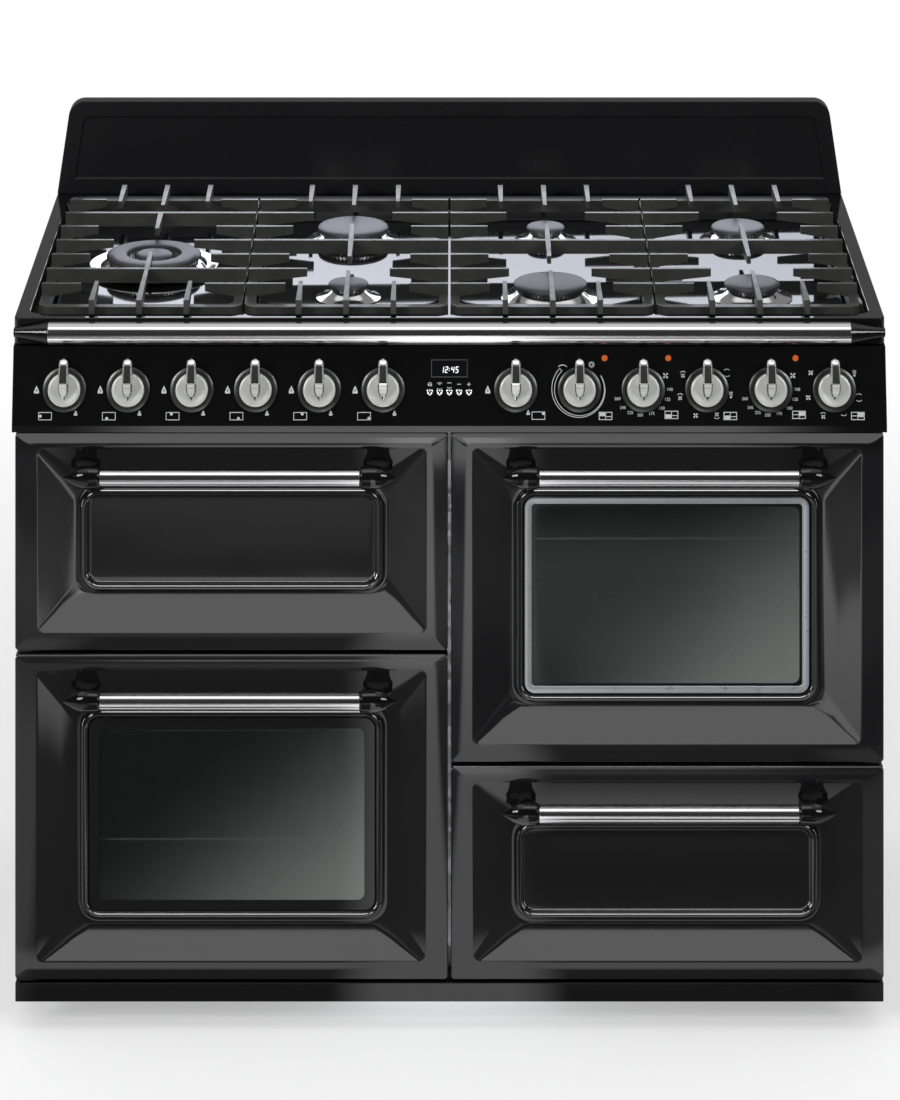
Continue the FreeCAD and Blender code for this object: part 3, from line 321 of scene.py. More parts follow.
# name: effect, colours, roughness, strength and depth in mm of the relief, other values
FINISHES = {
    "gloss_enamel": (ENAMEL, ("enamel", (0.8, 1.3)), (0.045, 0.085), (0.25, 0.06), GLASS),
    "pan_enamel": (ENAMEL, ("enamel", (1.0, 1.6)), (0.03, 0.07), (0.15, 0.05), {**GLASS, "wave_scale": 14.0}),
    # softer than the doors, so the hob doesn't show in it as in a mirror
    "upstand_enamel": (ENAMEL, ("enamel", (2.4, 3.6)), (0.24, 0.3), (0.25, 0.06),
                       {**GLASS, "Specular_IOR_Level": 0.35}),
    "satin_paint": (ENAMEL, ((0.012, 0.012, 0.013), (0.02, 0.02, 0.021)), (0.28, 0.4), (0.4, 0.08),
                    {"IOR": 1.48, "wave_scale": 60.0, "peel_scale": 900.0, "peel_share": 0.6}),
    "brushed_steel": (BRUSHED, ("steel", (0.86, 1.1)), (0.12, 0.2), (0.2, 0.03), METAL),
    "polished_metal": (BRUSHED, ((0.7, 0.7, 0.7), (0.86, 0.86, 0.85)), (0.06, 0.14), (0.1, 0.05),
                       {**METAL, "stretch": (60.0, 60.0, 60.0), "blotch_scale": 30.0}),
    "bright_wire": (BRUSHED, ((0.72, 0.73, 0.75), (0.88, 0.89, 0.9)), (0.1, 0.2), None,
                    {**METAL, "stretch": (200.0, 200.0, 200.0)}),
    # the knob faces and the window trim: part paint and part metal
    "nickel_disc": (CASTING, ((0.76, 0.77, 0.75), (0.92, 0.93, 0.91)), (0.28, 0.38), (0.4, 0.1),
                    {**GLASS, "Metallic": 0.3, "grain_scale": 1400.0, "pit_scale": 900.0}),
    "trim_silver": (CASTING, ((0.4, 0.43, 0.46), (0.5, 0.53, 0.56)), (0.26, 0.34), (0.08, 0.1),
                    {**GLASS, "Metallic": 0.45, "grain_scale": 1400.0, "pit_scale": 900.0}),
    "gunmetal_ring": (CASTING, ((0.1, 0.105, 0.1), (0.17, 0.175, 0.17)), (0.26, 0.4), None,
                      {**METAL, "grain_scale": 1600.0}),
    "matt_iron": (CASTING, ("iron", (0.75, 1.35)), (0.3, 0.46), (0.45, 0.18), GLASS),
    "cap_enamel": (CASTING, ((0.03, 0.03, 0.033), (0.05, 0.05, 0.055)), (0.13, 0.19), (0.2, 0.04),
                   {**GLASS, "grain_scale": 1100.0, "pit_scale": 600.0}),
    "cast_alloy": (CASTING, ((0.42, 0.42, 0.42), (0.6, 0.6, 0.6)), (0.25, 0.4), (0.4, 0.1),
                   {**METAL, "grain_scale": 1500.0}),
    "dull_brass": (CASTING, ((0.5, 0.36, 0.16), (0.66, 0.5, 0.26)), (0.3, 0.5), None, METAL),
    "element_sheath": (CASTING, ((0.07, 0.062, 0.055), (0.16, 0.14, 0.12)), (0.45, 0.65), None,
                       {"Metallic": 0.6, "grain_scale": 1200.0}),
    "silicone_seal": (CASTING, ((0.11, 0.11, 0.115), (0.16, 0.16, 0.165)), (0.5, 0.65), None,
                      {"IOR": 1.42, "grain_scale": 2000.0}),
    "clear_pane": (ENAMEL, ((0.52, 0.56, 0.54), (0.56, 0.6, 0.58)), (0.0, 0.015), None,
                   {**GLASS, "Transmission_Weight": 1.0, "wave_scale": 8.0}),
    "smoked_lens": (ENAMEL, ((0.006, 0.006, 0.007), (0.01, 0.01, 0.011)), (0.05, 0.1), None,
                    {**PLASTIC, "wave_scale": 40.0}),
}


def oven_enamel():
    """Dark grey oven enamel with fine pale flecks."""
    material, tree, shader = blank_material("oven_enamel", **GLASS)
    skin = use_effect(tree, ENAMEL, wave_scale=30.0)
    cells = add_node(tree, "ShaderNodeTexVoronoi", Vector=object_place(tree), Scale=330.0)
    fleck_size = 0.16
    fleck = arithmetic(tree, "LESS_THAN", cells.outputs["Distance"], fleck_size)
    dress(tree, shader, mix_colour(tree, fleck, (0.028, 0.03, 0.034), (0.22, 0.23, 0.25)),
          spread(tree, skin["Gloss"], 0.16, 0.3), bump(tree, skin["Height"], 0.3, 0.1))
    return material


def zinc_sheet():
    """Galvanised steel with its spangle."""
    material, tree, shader = blank_material("zinc_sheet", **METAL)
    spangle = add_node(tree, "ShaderNodeTexVoronoi", Vector=object_place(tree), Scale=95.0)
    cell = add_node(tree, "ShaderNodeSeparateColor", spangle.outputs["Color"]).outputs
    dress(tree, shader, mix_colour(tree, cell[0], (0.36, 0.38, 0.4), (0.52, 0.54, 0.56)),
          remap(tree, cell[1], 0.0, 1.0, 0.3, 0.5))
    return material


def pane_film(name, low_corner, high_corner):
    """A painted reflection on an oven pane: a thin layer whose pale colour and cover grow towards one lower
    corner.
    """
    material, tree, shader = blank_material(name, **GLASS)
    place = object_place(tree)
    axes = axes_of(tree, place)
    across = remap(tree, axes["X"], low_corner[0], high_corner[0], 0.0, 1.0)
    down = remap(tree, axes["Z"], high_corner[1], low_corner[1], 0.0, 1.0)
    across_share, down_share, cloud_share = 0.62, 0.5, 0.12
    slope = arithmetic(tree, "ADD", arithmetic(tree, "MULTIPLY", across, across_share),
                       arithmetic(tree, "MULTIPLY", down, down_share))
    cloud = noise(tree, place, scale=5.0, detail=2.0)
    drift = arithmetic(tree, "MULTIPLY", arithmetic(tree, "SUBTRACT", cloud, 0.5), cloud_share)
    amount = arithmetic(tree, "ADD", ease(tree, slope, 0.25, 1.1, 0.0, 1.0), drift)
    amount = arithmetic(tree, "MAXIMUM", amount, 0.0)
    # the pale colour and its cover are a painted reflection of light in the glass
    dress(tree, shader, mix_colour(tree, amount, (0.006, 0.011, 0.009), (0.25, 0.275, 0.26)),
          spread(tree, cloud, 0.04, 0.09))
    feed(tree, shader["Alpha"], remap(tree, amount, 0.0, 1.0, 0.12, 0.82))
    return material


def printed_ink(name="printed_ink", colour=None):
    """Ink that is printed on glass or enamel, a little uneven."""
    material, tree, shader = blank_material(name, IOR=1.45)
    base = colour or tuple(colours().ink)
    mottle = noise(tree, object_place(tree), scale=900.0)
    dress(tree, shader, mix_colour(tree, mottle, scaled(base, 0.85), scaled(base, 1.1)),
          spread(tree, mottle, 0.38, 0.5))
    return material


def lit_digit():
    material, tree, shader = blank_material("lit_digit", Emission_Strength=1.1)
    flicker = noise(tree, object_place(tree), scale=600.0, detail=2.0)
    lit = mix_colour(tree, flicker, (0.72, 0.76, 0.78), (0.86, 0.9, 0.92))
    for key in ("Base Color", "Emission Color"):
        feed(tree, shader[key], lit)
    return material


def lens_plastic():
    """Smoked over the clock and orange over the lamps, told apart by their place along the panel."""
    material, tree, shader = blank_material("lens_plastic", Emission_Strength=0.25, **PLASTIC)
    place = object_place(tree)
    is_lamp = arithmetic(tree, "GREATER_THAN", axes_of(tree, place)["X"], CLOCK_LENS_END)
    base = tuple(colours().glow)
    uneven = noise(tree, place, scale=500.0, detail=2.0)
    lamp = mix_colour(tree, uneven, scaled(base, 0.6), scaled(base, 1.3))
    dress(tree, shader, mix_colour(tree, is_lamp, (0.006, 0.006, 0.007), lamp),
          spread(tree, uneven, 0.06, 0.14))
    feed(tree, shader["Emission Color"], mix_colour(tree, is_lamp, (0, 0, 0), lamp))
    return material


OWN_FINISHES = {maker.__name__: maker
                for maker in (oven_enamel, zinc_sheet, printed_ink, lit_digit, lens_plastic)}


def finish(name):
    """The material of this name, made when it is first asked for."""
    if name in bpy.data.materials:
        return bpy.data.materials[name]
    if name in OWN_FINISHES:
        return OWN_FINISHES[name]()
    *looks, values = FINISHES[name]
    return surface(name, *looks, **values)


# ---- mesh helpers ----

def new_object(name, data):
    made = bpy.data.objects.new(name, data)
    bpy.context.scene.collection.objects.link(made)
    return made


def evaluated_mesh(made):
    """The plain mesh that an object's modifiers or curve give."""
    bpy.context.view_layer.update()
    graph = bpy.context.evaluated_depsgraph_get()
    return bpy.data.meshes.new_from_object(made.evaluated_get(graph))


def bake_modifiers(made):
    mesh = evaluated_mesh(made)
    made.modifiers.clear()
    made.data = mesh


def plain_mesh(shape, name="part"):
    """Turn a bmesh into a mesh and free it."""
    mesh = bpy.data.meshes.new(name)
    shape.to_mesh(mesh)
    shape.free()
    return mesh


def add_mesh(shape, mesh):
    """Add a mesh to a bmesh and remove it."""
    shape.from_mesh(mesh)
    bpy.data.meshes.remove(mesh)


def shade(made, angle):
    """Smooth shading, with edges that turn by more than this angle kept sharp."""
    for face in made.data.polygons:
        face.use_smooth = True
    made.data.set_sharp_from_angle(angle=math.radians(angle))


def from_bmesh(name, shape, *materials, smooth=35.0):
    """Turn a bmesh into an object at the origin that holds these finishes."""
    mesh = plain_mesh(shape, name)
    for material in materials:
        mesh.materials.append(finish(material) if isinstance(material, str) else material)
    last = len(materials) - 1
    mesh.polygons.foreach_set("material_index", [min(face.material_index, last) for face in mesh.polygons])
    made = new_object(name, mesh)
    shade(made, smooth)
    return made


def settle(made, body, slot, *nodes):
    """Ride the piece on its body and stand for its nodes; the slot argument is not used."""
    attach(made, body)
    if nodes:
        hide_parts(*nodes)
    return made


def lit_by(made, *lamps):
    """Put the piece in the light of lamps that shine on chosen pieces alone."""
    for lamp in lamps:
        bpy.data.collections[f"{lamp}_pieces"].objects.link(made)


def softened(name, node, material, width, segments=2, angle=30.0):
    """A copy of a node with its sharp edges rounded, as pressing or casting leaves them."""
    shape = bmesh.new()
    shape.from_mesh(NODES[node].data)
    bmesh.ops.remove_doubles(shape, verts=shape.verts, dist=0.01 * MM)
    bmesh.ops.dissolve_limit(shape, angle_limit=FLAT_TURN, verts=shape.verts, edges=shape.edges)
    made = from_bmesh(name, shape, material, smooth=angle)
    rounder = made.modifiers.new("edges", "BEVEL")
    rounder.width = width
    rounder.segments = segments
    rounder.limit_method = "ANGLE"
    rounder.angle_limit = math.radians(angle)
    rounder.harden_normals = True
    return made


def circle_points(x, y, radius, steps=20):
    return [(x + radius * math.cos(2 * math.pi * n / steps), y + radius * math.sin(2 * math.pi * n / steps))
            for n in range(steps)]


def lathe(shape, profile, steps, material=0, centre=Vector()):
    """Spin (radius, height) points about a vertical line, closing the ends on the axis."""
    rings = []
    for radius, height in profile:
        points = circle_points(0, 0, radius, steps) if radius else [(0, 0)]
        rings.append([shape.verts.new(centre + Vector((x, y, height))) for x, y in points])
    for low, high in zip(rings, rings[1:]):
        for n in range(steps):
            m = (n + 1) % steps
            if len(low) == 1:
                face = shape.faces.new((low[0], high[m], high[n]))
            elif len(high) == 1:
                face = shape.faces.new((low[n], low[m], high[0]))
            else:
                face = shape.faces.new((low[n], low[m], high[m], high[n]))
            face.material_index = material


def add_spun(shape, profile, steps, material=0, centre=Vector(), place=Matrix()):
    """Add a closed lathe shape, drawn in millimetres, and put it in its place."""
    spun = bmesh.new()
    lathe(spun, [(radius * MM, height * MM) for radius, height in profile], steps, material, centre)
    point_outwards(spun)
    mesh = plain_mesh(spun)
    mesh.transform(place)
    add_mesh(shape, mesh)


def point_outwards(shape):
    bmesh.ops.remove_doubles(shape, verts=shape.verts, dist=0.001 * MM)
    bmesh.ops.recalc_face_normals(shape, faces=shape.faces)


def point_along(shape, way):
    """Faces of an open sheet turned to one side."""
    bmesh.ops.recalc_face_normals(shape, faces=shape.faces)
    if sum(face.normal.dot(way) * face.calc_area() for face in shape.faces) < 0:
        bmesh.ops.reverse_faces(shape, faces=shape.faces)


def rounded_loop(half_x, low, high, radius, steps):
    """Points of an upright rounded rectangle, with the same count for any size."""
    points = []
    corners = ((half_x - radius, low + radius, -90), (half_x - radius, high - radius, 0),
               (-half_x + radius, high - radius, 90), (-half_x + radius, low + radius, 180))
    for x, z, start in corners:
        for n in range(steps + 1):
            angle = math.radians(start + 90 * n / steps)
            points.append((x + radius * math.cos(angle), z + radius * math.sin(angle)))
    return points


def upright_loops(shape, middle, base, loops, steps=10):
    """Vertices of rounded rectangles, each (half width, low, high, corner, y), up from a base."""
    return [[shape.verts.new((middle + x, y, base + z)) for x, z in rounded_loop(*loop, steps)]
            for *loop, y in loops]


def bridge(shape, loops):
    """Skin a row of loops that have the same count."""
    for first, second in zip(loops, loops[1:]):
        for n in range(len(first)):
            m = (n + 1) % len(first)
            shape.faces.new((first[n], first[m], second[m], second[n]))


def on_panel(x, height, lift=0.0):
    """Turns a flat drawing (X right, Y up, Z out) onto the leaning panel, lifted off its face."""
    right = Vector((1, 0, 0))
    up = Vector((0, math.sin(LEAN), math.cos(LEAN)))
    out = Vector((0, -math.cos(LEAN), math.sin(LEAN)))
    turn = Matrix((right, up, out)).transposed().to_4x4()
    face_y = FRONT - PANEL_LEAN * (TRAY_LOW - height) / LEAN_HEIGHT
    return Matrix.Translation(Vector((x, face_y, height)) + lift * out) @ turn


# ---- body ----

class COOKER_OT_body(bpy.types.Operator):
    """Enamel side panels, plinth, hob tray, upstand and control panel"""
    bl_idname = "cooker.body"
    bl_label = "Body"

    def execute(self, context):
        for node, name, material, slot, width in (
                ("outer_panels", "side_and_back_sheets", "satin_paint", "black_paint", 0.6),
                ("plinth", "plinth_panel", "gloss_enamel", "black_enamel", 1.0),
                ("hob_tray", "hob_tray_enamel", "pan_enamel", "black_enamel", 1.8),
                ("upstand", "upstand_enamel", "upstand_enamel", "black_enamel", 2.2),
                ("control_panel", "control_panel_enamel", "gloss_enamel", "black_enamel", 0.9)):
            settle(softened(name, node, material, width * MM, 3), "cooker", slot, node)
        return {"FINISHED"}


HIDDEN_FINISHES = {
    "zinc_sheet": ("chassis_frame",),
    "oven_enamel": ("grill_liner", "left_oven_liner", "right_oven_liner", "storage_liner"),
    "satin_paint": ("levelling_feet", "grill_door_inner", "left_oven_door_inner", "right_oven_door_inner",
                    "storage_door_inner"),
    "element_sheath": ("heating_elements",),
    "silicone_seal": ("door_seals",),
    "dull_brass": ("control_valves",),
    "bright_wire": ("left_oven_shelf", "right_oven_shelf"),
}


class COOKER_OT_hidden_metal(bpy.types.Operator):
    """Finishes for the chassis, feet, liners, elements, seals, valves and shelves"""
    bl_idname = "cooker.hidden_metal"
    bl_label = "Hidden metal"

    def execute(self, context):
        for material, nodes in HIDDEN_FINISHES.items():
            for node in nodes:
                mesh = NODES[node].data
                mesh.materials.clear()
                mesh.materials.append(finish(material))
        return {"FINISHED"}


# ---- doors ----

DOOR_LAMPS = ("slope_lamp", "over_doors", "beside_left", "beside_right")
DOOR_NAMES = ("grill", "left_oven", "right_oven", "storage")
WINDOW_DOORS = ("left_oven", "right_oven")
SHELL_DEEP = 20 * MM
SKIN_SHEET = 1.2 * MM
# insets from the sides, foot and top of a door, and the corner: the flat rim, the sunk floor and the bead
RIM, FLOOR, BEAD = (28, 23, 20, 9), (76, 66, 68, 27), (80, 70, 72, 26)
# share of the way from rim to floor, depth in mm
SLOPE = ((-0.035, 0), (-0.012, 0.02), (0.012, 0.3), (0.04, 0.7), (0.3, 4.25), (0.6, 8.4), (0.93, 13),
         (1.0, 13.6))
# step inwards from the bead's loop, depth in mm
BEAD_ROLL = ((-1.0, 13.9), (0.2, 13.4), (0.8, 11.4), (1.8, 9.0), (3.4, 7.0), (5.4, 6.1), (7.2, 6.3),
             (9.2, 7.6), (10.6, 9.6), (11.5, 11.8))
WINDOW_EDGE = ((12.0, 13.4), (12.0, 20.0))
FIELD_EDGE = ((12.3, 13.2), (13.2, 13.8), (15.0, 14.0))
BEAD_CORNER_LEAST = 10
HINGE_NOTCH = (11 * MM, 26 * MM, 39 * MM)
HINGE_ASIDE, NOTCH_IN, NOTCH_UP = 205 * MM, 17.5 * MM, 14 * MM


def door_rings(height, half, window, soft):
    """(half width, low, high, corner, y) of each loop over a door, from its back edge inwards."""

    def ring(inset, depth, step=0.0, least=0):
        side, foot, top = ((value + step) * MM for value in inset[:3])
        corner = max(inset[3] - step, least) * MM
        return half - side, foot, height - top, corner, FRONT + depth * MM

    corner = 5 * MM
    rings = [(half, 0, height, corner, FRONT + SHELL_DEEP)]
    for degrees in range(0, 91, 30):
        angle = math.radians(degrees)
        inset = soft * (1 - math.cos(angle))
        rings.append((half - inset, inset, height - inset, corner - inset,
                      FRONT + soft * (1 - math.sin(angle))))
    for share, depth in SLOPE:
        rings.append(ring([a + (b - a) * share for a, b in zip(RIM, FLOOR)], depth))
    for step, depth in BEAD_ROLL + (WINDOW_EDGE if window else FIELD_EDGE):
        rings.append(ring(BEAD, depth, step, BEAD_CORNER_LEAST))
    return rings


def door_skin(name):
    """The pressed and enamelled outer skin of one door, with the notches for its hinges."""
    low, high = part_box(f"{name}_door_shell")
    middle = (low.x + high.x) / 2
    window = name in WINDOW_DOORS
    shape = bmesh.new()
    rings = door_rings(high.z - low.z, (high.x - low.x) / 2, window, sizes().edge_round)
    loops = upright_loops(shape, middle, low.z, rings)
    bridge(shape, loops)
    if not window:
        shape.faces.new(loops[-1])
    point_outwards(shape)
    point_along(shape, TO_FRONT)
    made = from_bmesh(f"{name}_door_skin", shape, "gloss_enamel", smooth=28.0)
    wall = made.modifiers.new("sheet", "SOLIDIFY")
    wall.thickness = SKIN_SHEET
    wall.offset = -1.0
    cutters = []
    for side in (-1, 1):
        cutter = bmesh.new()
        spot = Matrix.Translation((middle + side * HINGE_ASIDE, FRONT + NOTCH_IN, low.z + NOTCH_UP))
        bmesh.ops.create_cube(cutter, size=1.0, matrix=spot @ Matrix.Diagonal((*HINGE_NOTCH, 1)))
        cutters.append(new_object("notch", plain_mesh(cutter)))
        notch = made.modifiers.new("notch", "BOOLEAN")
        notch.operation = "DIFFERENCE"
        notch.solver = "EXACT"
        notch.object = cutters[-1]
    bake_modifiers(made)
    for cutter in cutters:
        bpy.data.objects.remove(cutter)
    shade(made, 28.0)
    return made


class COOKER_OT_doors(bpy.types.Operator):
    """The pressed door skins with their sunk frames and beads"""
    bl_idname = "cooker.doors"
    bl_label = "Doors"

    def execute(self, context):
        for name in DOOR_NAMES:
            skin = settle(door_skin(name), f"{name}_door", "black_enamel", f"{name}_door_shell")
            lit_by(skin, *DOOR_LAMPS)
        return {"FINISHED"}


PANE_FACE = FRONT + 12 * MM
# lap under the border and lift off the pane of the layer that carries the painted reflection
FILM_LAP, FILM_LIFT = 0.5 * MM, 0.15 * MM
BORDER, BORDER_CORNER = 13 * MM, 9 * MM
# inset, corner and lift off the pane of the printed border's two edges
BORDER_RINGS = ((0.2 * MM, 13.5 * MM, 0.3 * MM), (BORDER, BORDER_CORNER, 0.3 * MM))
TRIMMED_DOOR = "right_oven"
TRIM_CORNER = 14
# step inwards from the pane's edge and lift off the pane of the trim's section, in mm
TRIM_SECTION = ((0.4, 0.2), (1.2, 2.6), (2.4, 3.0), (7.4, 1.5), (8.6, 1.3), (9.4, 0.2))
TRIM_RINGS = [(step * MM, (TRIM_CORNER - step) * MM, lift * MM) for step, lift in TRIM_SECTION]


def pane_loops(shape, pane, rings, steps=10):
    """Loops over a pane from (inset, corner, lift) rings."""
    low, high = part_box(pane)
    return upright_loops(shape, (low.x + high.x) / 2, low.z, [
        ((high.x - low.x) / 2 - inset, inset, high.z - low.z - inset, corner, PANE_FACE - lift)
        for inset, corner, lift in rings], steps)


def pane_frame(name, pane, rings, material, smooth=35.0):
    """A frame over a pane, skinned from its rings."""
    shape = bmesh.new()
    bridge(shape, pane_loops(shape, pane, rings))
    point_along(shape, TO_FRONT)
    return from_bmesh(name, shape, material, smooth=smooth)


class COOKER_OT_windows(bpy.types.Operator):
    """The glass, a layer of painted reflection, the printed border and the trim of the oven windows"""
    bl_idname = "cooker.windows"
    bl_label = "Oven windows"

    def execute(self, context):
        for name in WINDOW_DOORS:
            pane, body = f"{name}_door_panes", f"{name}_door"
            settle(softened(f"{name}_glass", pane, "clear_pane", 0.4 * MM), body, "dark_glass", pane)
            # a thin layer over each pane that carries a painted reflection
            sheen_layer = bmesh.new()
            sheen_layer.faces.new(pane_loops(sheen_layer, pane, [(BORDER - FILM_LAP, BORDER_CORNER, FILM_LIFT)], 8)[0])
            point_along(sheen_layer, TO_FRONT)
            low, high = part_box(pane)
            material = pane_film(f"{name}_film", (low.x, low.z), (high.x, high.z))
            settle(from_bmesh(f"{name}_window_film", sheen_layer, material), body, "dark_glass")
            border = pane_frame(f"{name}_window_border", pane, BORDER_RINGS, "smoked_lens")
            settle(border, body, "dark_glass")
            if name == TRIMMED_DOOR:
                trim = pane_frame(f"{name}_window_trim", pane, TRIM_RINGS, "trim_silver", 50.0)
                settle(trim, body, "satin_steel")
        return {"FINISHED"}


# ---- handles ----

BAR_EXTRA = 1.2 * MM
BAR_CHAMFER = 0.4 * MM
# (radius, distance) of the cast leaf beyond the bar's end, and of its post back to the door
LEAF = ((0, 0), (10.8, 0), (12.2, 2.5), (12.6, 8), (13, 14), (12.7, 20), (11.2, 27), (8.4, 34), (5.0, 40),
        (2.4, 44.5), (0.8, 46.6), (0, 47))
LEAF_STRETCH = (1.0, 0.9, 1.12)
POST = ((0, 40), (15.0, 40), (14.6, 38.6), (13.0, 34), (11.4, 27), (10.6, 18), (10.8, 8), (9.6, 0), (0, 0))
POST_STRETCH = (1.3, 0.86, 1.0)
POST_ALONG = 22 * MM


def turned(degrees, axis):
    return Matrix.Rotation(math.radians(degrees), 4, axis)


def handle_end_mesh():
    """One cast leaf with its post, made once and pointing to +X from the bar's end."""
    shape = bmesh.new()
    add_spun(shape, LEAF, 40, place=Matrix.Diagonal((*LEAF_STRETCH, 1)) @ turned(90, "Y"))
    add_spun(shape, POST, 32, place=Matrix.Translation((POST_ALONG, 0, 0)) @ turned(-90, "X")
             @ Matrix.Diagonal((*POST_STRETCH, 1)))
    point_outwards(shape)
    made = from_bmesh("cast_leaf", shape, "gloss_enamel")
    blend = made.modifiers.new("blend", "REMESH")
    blend.mode = "VOXEL"
    blend.voxel_size = 0.8 * MM
    smooth = made.modifiers.new("ease", "SMOOTH")
    smooth.factor = 0.5
    smooth.iterations = 8
    bake_modifiers(made)
    mesh = made.data
    bpy.data.objects.remove(made)
    return mesh


class COOKER_OT_handles(bpy.types.Operator):
    """The four satin steel handle bars and their black cast ends"""
    bl_idname = "cooker.handles"
    bl_label = "Handles"

    def execute(self, context):
        leaf = handle_end_mesh()
        for name in DOOR_NAMES:
            low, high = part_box(f"{name}_handle_bar")
            centre = (low + high) / 2
            radius = (high.z - low.z) / 2 + BAR_EXTRA
            half = (high.x - low.x) / 2
            shape = bmesh.new()
            lathe(shape, [(0, -half), (radius - BAR_CHAMFER, -half), (radius, -half + BAR_CHAMFER),
                          (radius, half - BAR_CHAMFER), (radius - BAR_CHAMFER, half), (0, half)], 72)
            shape.transform(Matrix.Translation(centre) @ turned(90, "Y"))
            point_outwards(shape)
            tube = from_bmesh(f"{name}_handle_tube", shape, "brushed_steel")
            lit_by(settle(tube, f"{name}_door", "satin_steel", f"{name}_handle_bar"), "floor_strip")
            ends = bmesh.new()
            for side in (-1, 1):
                end = leaf.copy()
                end.transform(Matrix.Translation(centre + Vector((side * half, 0, 0)))
                              @ Matrix.Diagonal((side, 1, 1, 1)))
                add_mesh(ends, end)
            bmesh.ops.recalc_face_normals(ends, faces=ends.faces)
            castings = from_bmesh(f"{name}_handle_castings", ends, "gloss_enamel", smooth=60.0)
            settle(castings, f"{name}_door", "black_castings", f"{name}_handle_ends")
        bpy.data.meshes.remove(leaf)
        return {"FINISHED"}


# ---- front rail ----

class COOKER_OT_rail(bpy.types.Operator):
    """The satin steel rail along the hob and its cast ends"""
    bl_idname = "cooker.rail"
    bl_label = "Front rail"

    def execute(self, context):
        rail = softened("front_rail_steel", "front_rail", "brushed_steel", 0.5 * MM, 2, 40.0)
        lit_by(settle(rail, "cooker", "satin_steel", "front_rail"), "floor_strip")
        settle(softened("rail_end_castings", "rail_ends", "gloss_enamel", 1.6 * MM, 4, 32.0),
               "cooker", "black_castings", "rail_ends")
        return {"FINISHED"}


# ---- knobs ----

# (radius, height off the panel) in mm
KNOB_SKIRT = ((21.2, 1.0), (27.5, 1.0), (27.5, 3.0), (27.1, 3.8), (26.2, 4.2), (22.4, 5.0), (21.4, 4.8),
              (21.2, 4.0), (21.2, 1.0))
KNOB_DISC = ((0, 2.0), (20.5, 2.0), (20.5, 8.0), (20.1, 9.0), (19.3, 9.7), (18.2, 10.0), (16.4, 10.0),
             (15.8, 9.8), (0, 9.9))
KNOB_SPINDLE = ((0, -43), (5, -43), (5, 3), (0, 3))
# place up the face, half width, half width of the crest, foot height, crest height
KNOB_LEVER = (
    (-13.0, 0.5, 0.25, 9.2, 10.4), (-10.5, 2.4, 1.2, 9.2, 12.6), (-7.6, 3.9, 2.4, 9.2, 15.4),
    (-2.0, 6.0, 4.2, 9.2, 21.0), (4.0, 6.7, 4.9, 9.2, 26.0), (9.0, 6.6, 4.8, 9.2, 28.8),
    (11.0, 6.5, 4.5, 9.2, 29.2), (20.0, 6.1, 4.1, 11.4, 27.6), (29.0, 5.8, 3.8, 13.8, 25.6),
    (34.0, 5.6, 3.6, 15.2, 23.6), (37.2, 4.4, 2.6, 17.0, 21.8), (39.0, 1.2, 0.8, 18.4, 20.0),
)
DROP_FROM, DROP_TO = 2, 5
SHOULDER = 0.72
DARK, SATIN, BRIGHT = 0, 1, 2
KNOB_HEIGHT = 815 * MM


def lever_finish(index, side):
    """Finish of one face of the lever: side 2 is its crest and sides 1 and 3 are its bevels."""
    drop = DROP_FROM <= index < DROP_TO
    if side == 2:
        return SATIN if drop else BRIGHT
    if side in (1, 3):
        return DARK if drop or index >= len(KNOB_LEVER) - 2 else SATIN
    return BRIGHT


def lever_mesh(place):
    """The lever across a knob, as sections joined from its drop to its tip."""
    shape = bmesh.new()
    rings = []
    for up, wide, crest, foot, top in KNOB_LEVER:
        side = foot + (top - foot) * SHOULDER
        outline = ((-wide, foot), (-wide, side), (-crest, top), (crest, top), (wide, side), (wide, foot))
        rings.append([shape.verts.new(place @ Vector((x * MM, up * MM, out * MM))) for x, out in outline])
    bridge(shape, rings)
    for number, face in enumerate(shape.faces):
        face.material_index = lever_finish(*divmod(number, len(rings[0])))
    for ring in (rings[0], rings[-1]):
        shape.faces.new(ring).material_index = BRIGHT
    bmesh.ops.recalc_face_normals(shape, faces=shape.faces)
    rounded = bmesh.ops.bevel(shape, geom=list(shape.edges), offset=0.5 * MM, segments=2, affect="EDGES",
                              clamp_overlap=True)
    for face in rounded["faces"]:
        face.material_index = BRIGHT
    return plain_mesh(shape)


def knob_xs():
    """Middle of each knob along the panel."""
    boxes = [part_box(f"knob_{number:02d}") for number in range(1, 13)]
    return [(low.x + high.x) / 2 for low, high in boxes]


class COOKER_OT_knobs(bpy.types.Operator):
    """Twelve knobs: a dark ring, a grained disc and a polished lever"""
    bl_idname = "cooker.knobs"
    bl_label = "Knobs"

    def execute(self, context):
        for number, x in enumerate(knob_xs(), start=1):
            place = on_panel(x, KNOB_HEIGHT)
            shape = bmesh.new()
            for profile, material in ((KNOB_SKIRT, DARK), (KNOB_DISC, SATIN), (KNOB_SPINDLE, BRIGHT)):
                add_spun(shape, profile, 72, material, place=place)
            add_mesh(shape, lever_mesh(place))
            name = f"knob_{number:02d}"
            made = from_bmesh(f"{name}_turned", shape, "gunmetal_ring", "nickel_disc", "polished_metal",
                              smooth=32.0)
            settle(made, name, "satin_nickel", name)
        return {"FINISHED"}


# ---- marks on the panel, drawn in millimetres from each knob's middle ----

def drawing_piece(name, drawings, material):
    """One flat piece from (matrix, points) drawings."""
    shape = bmesh.new()
    for place, points in drawings:
        shape.faces.new([shape.verts.new(place @ Vector((x * MM, y * MM, 0))) for x, y in points])
    return from_bmesh(name, shape, material)


def box_points(x0, y0, x1, y1):
    return [(x0, y0), (x1, y0), (x1, y1), (x0, y1)]


def outline_boxes(x0, y0, x1, y1, line):
    """The four strokes of a rectangle."""
    return [box_points(x0, y0, x1, y0 + line), box_points(x0, y1 - line, x1, y1),
            box_points(x0, y0 + line, x0 + line, y1 - line), box_points(x1 - line, y0 + line, x1, y1 - line)]


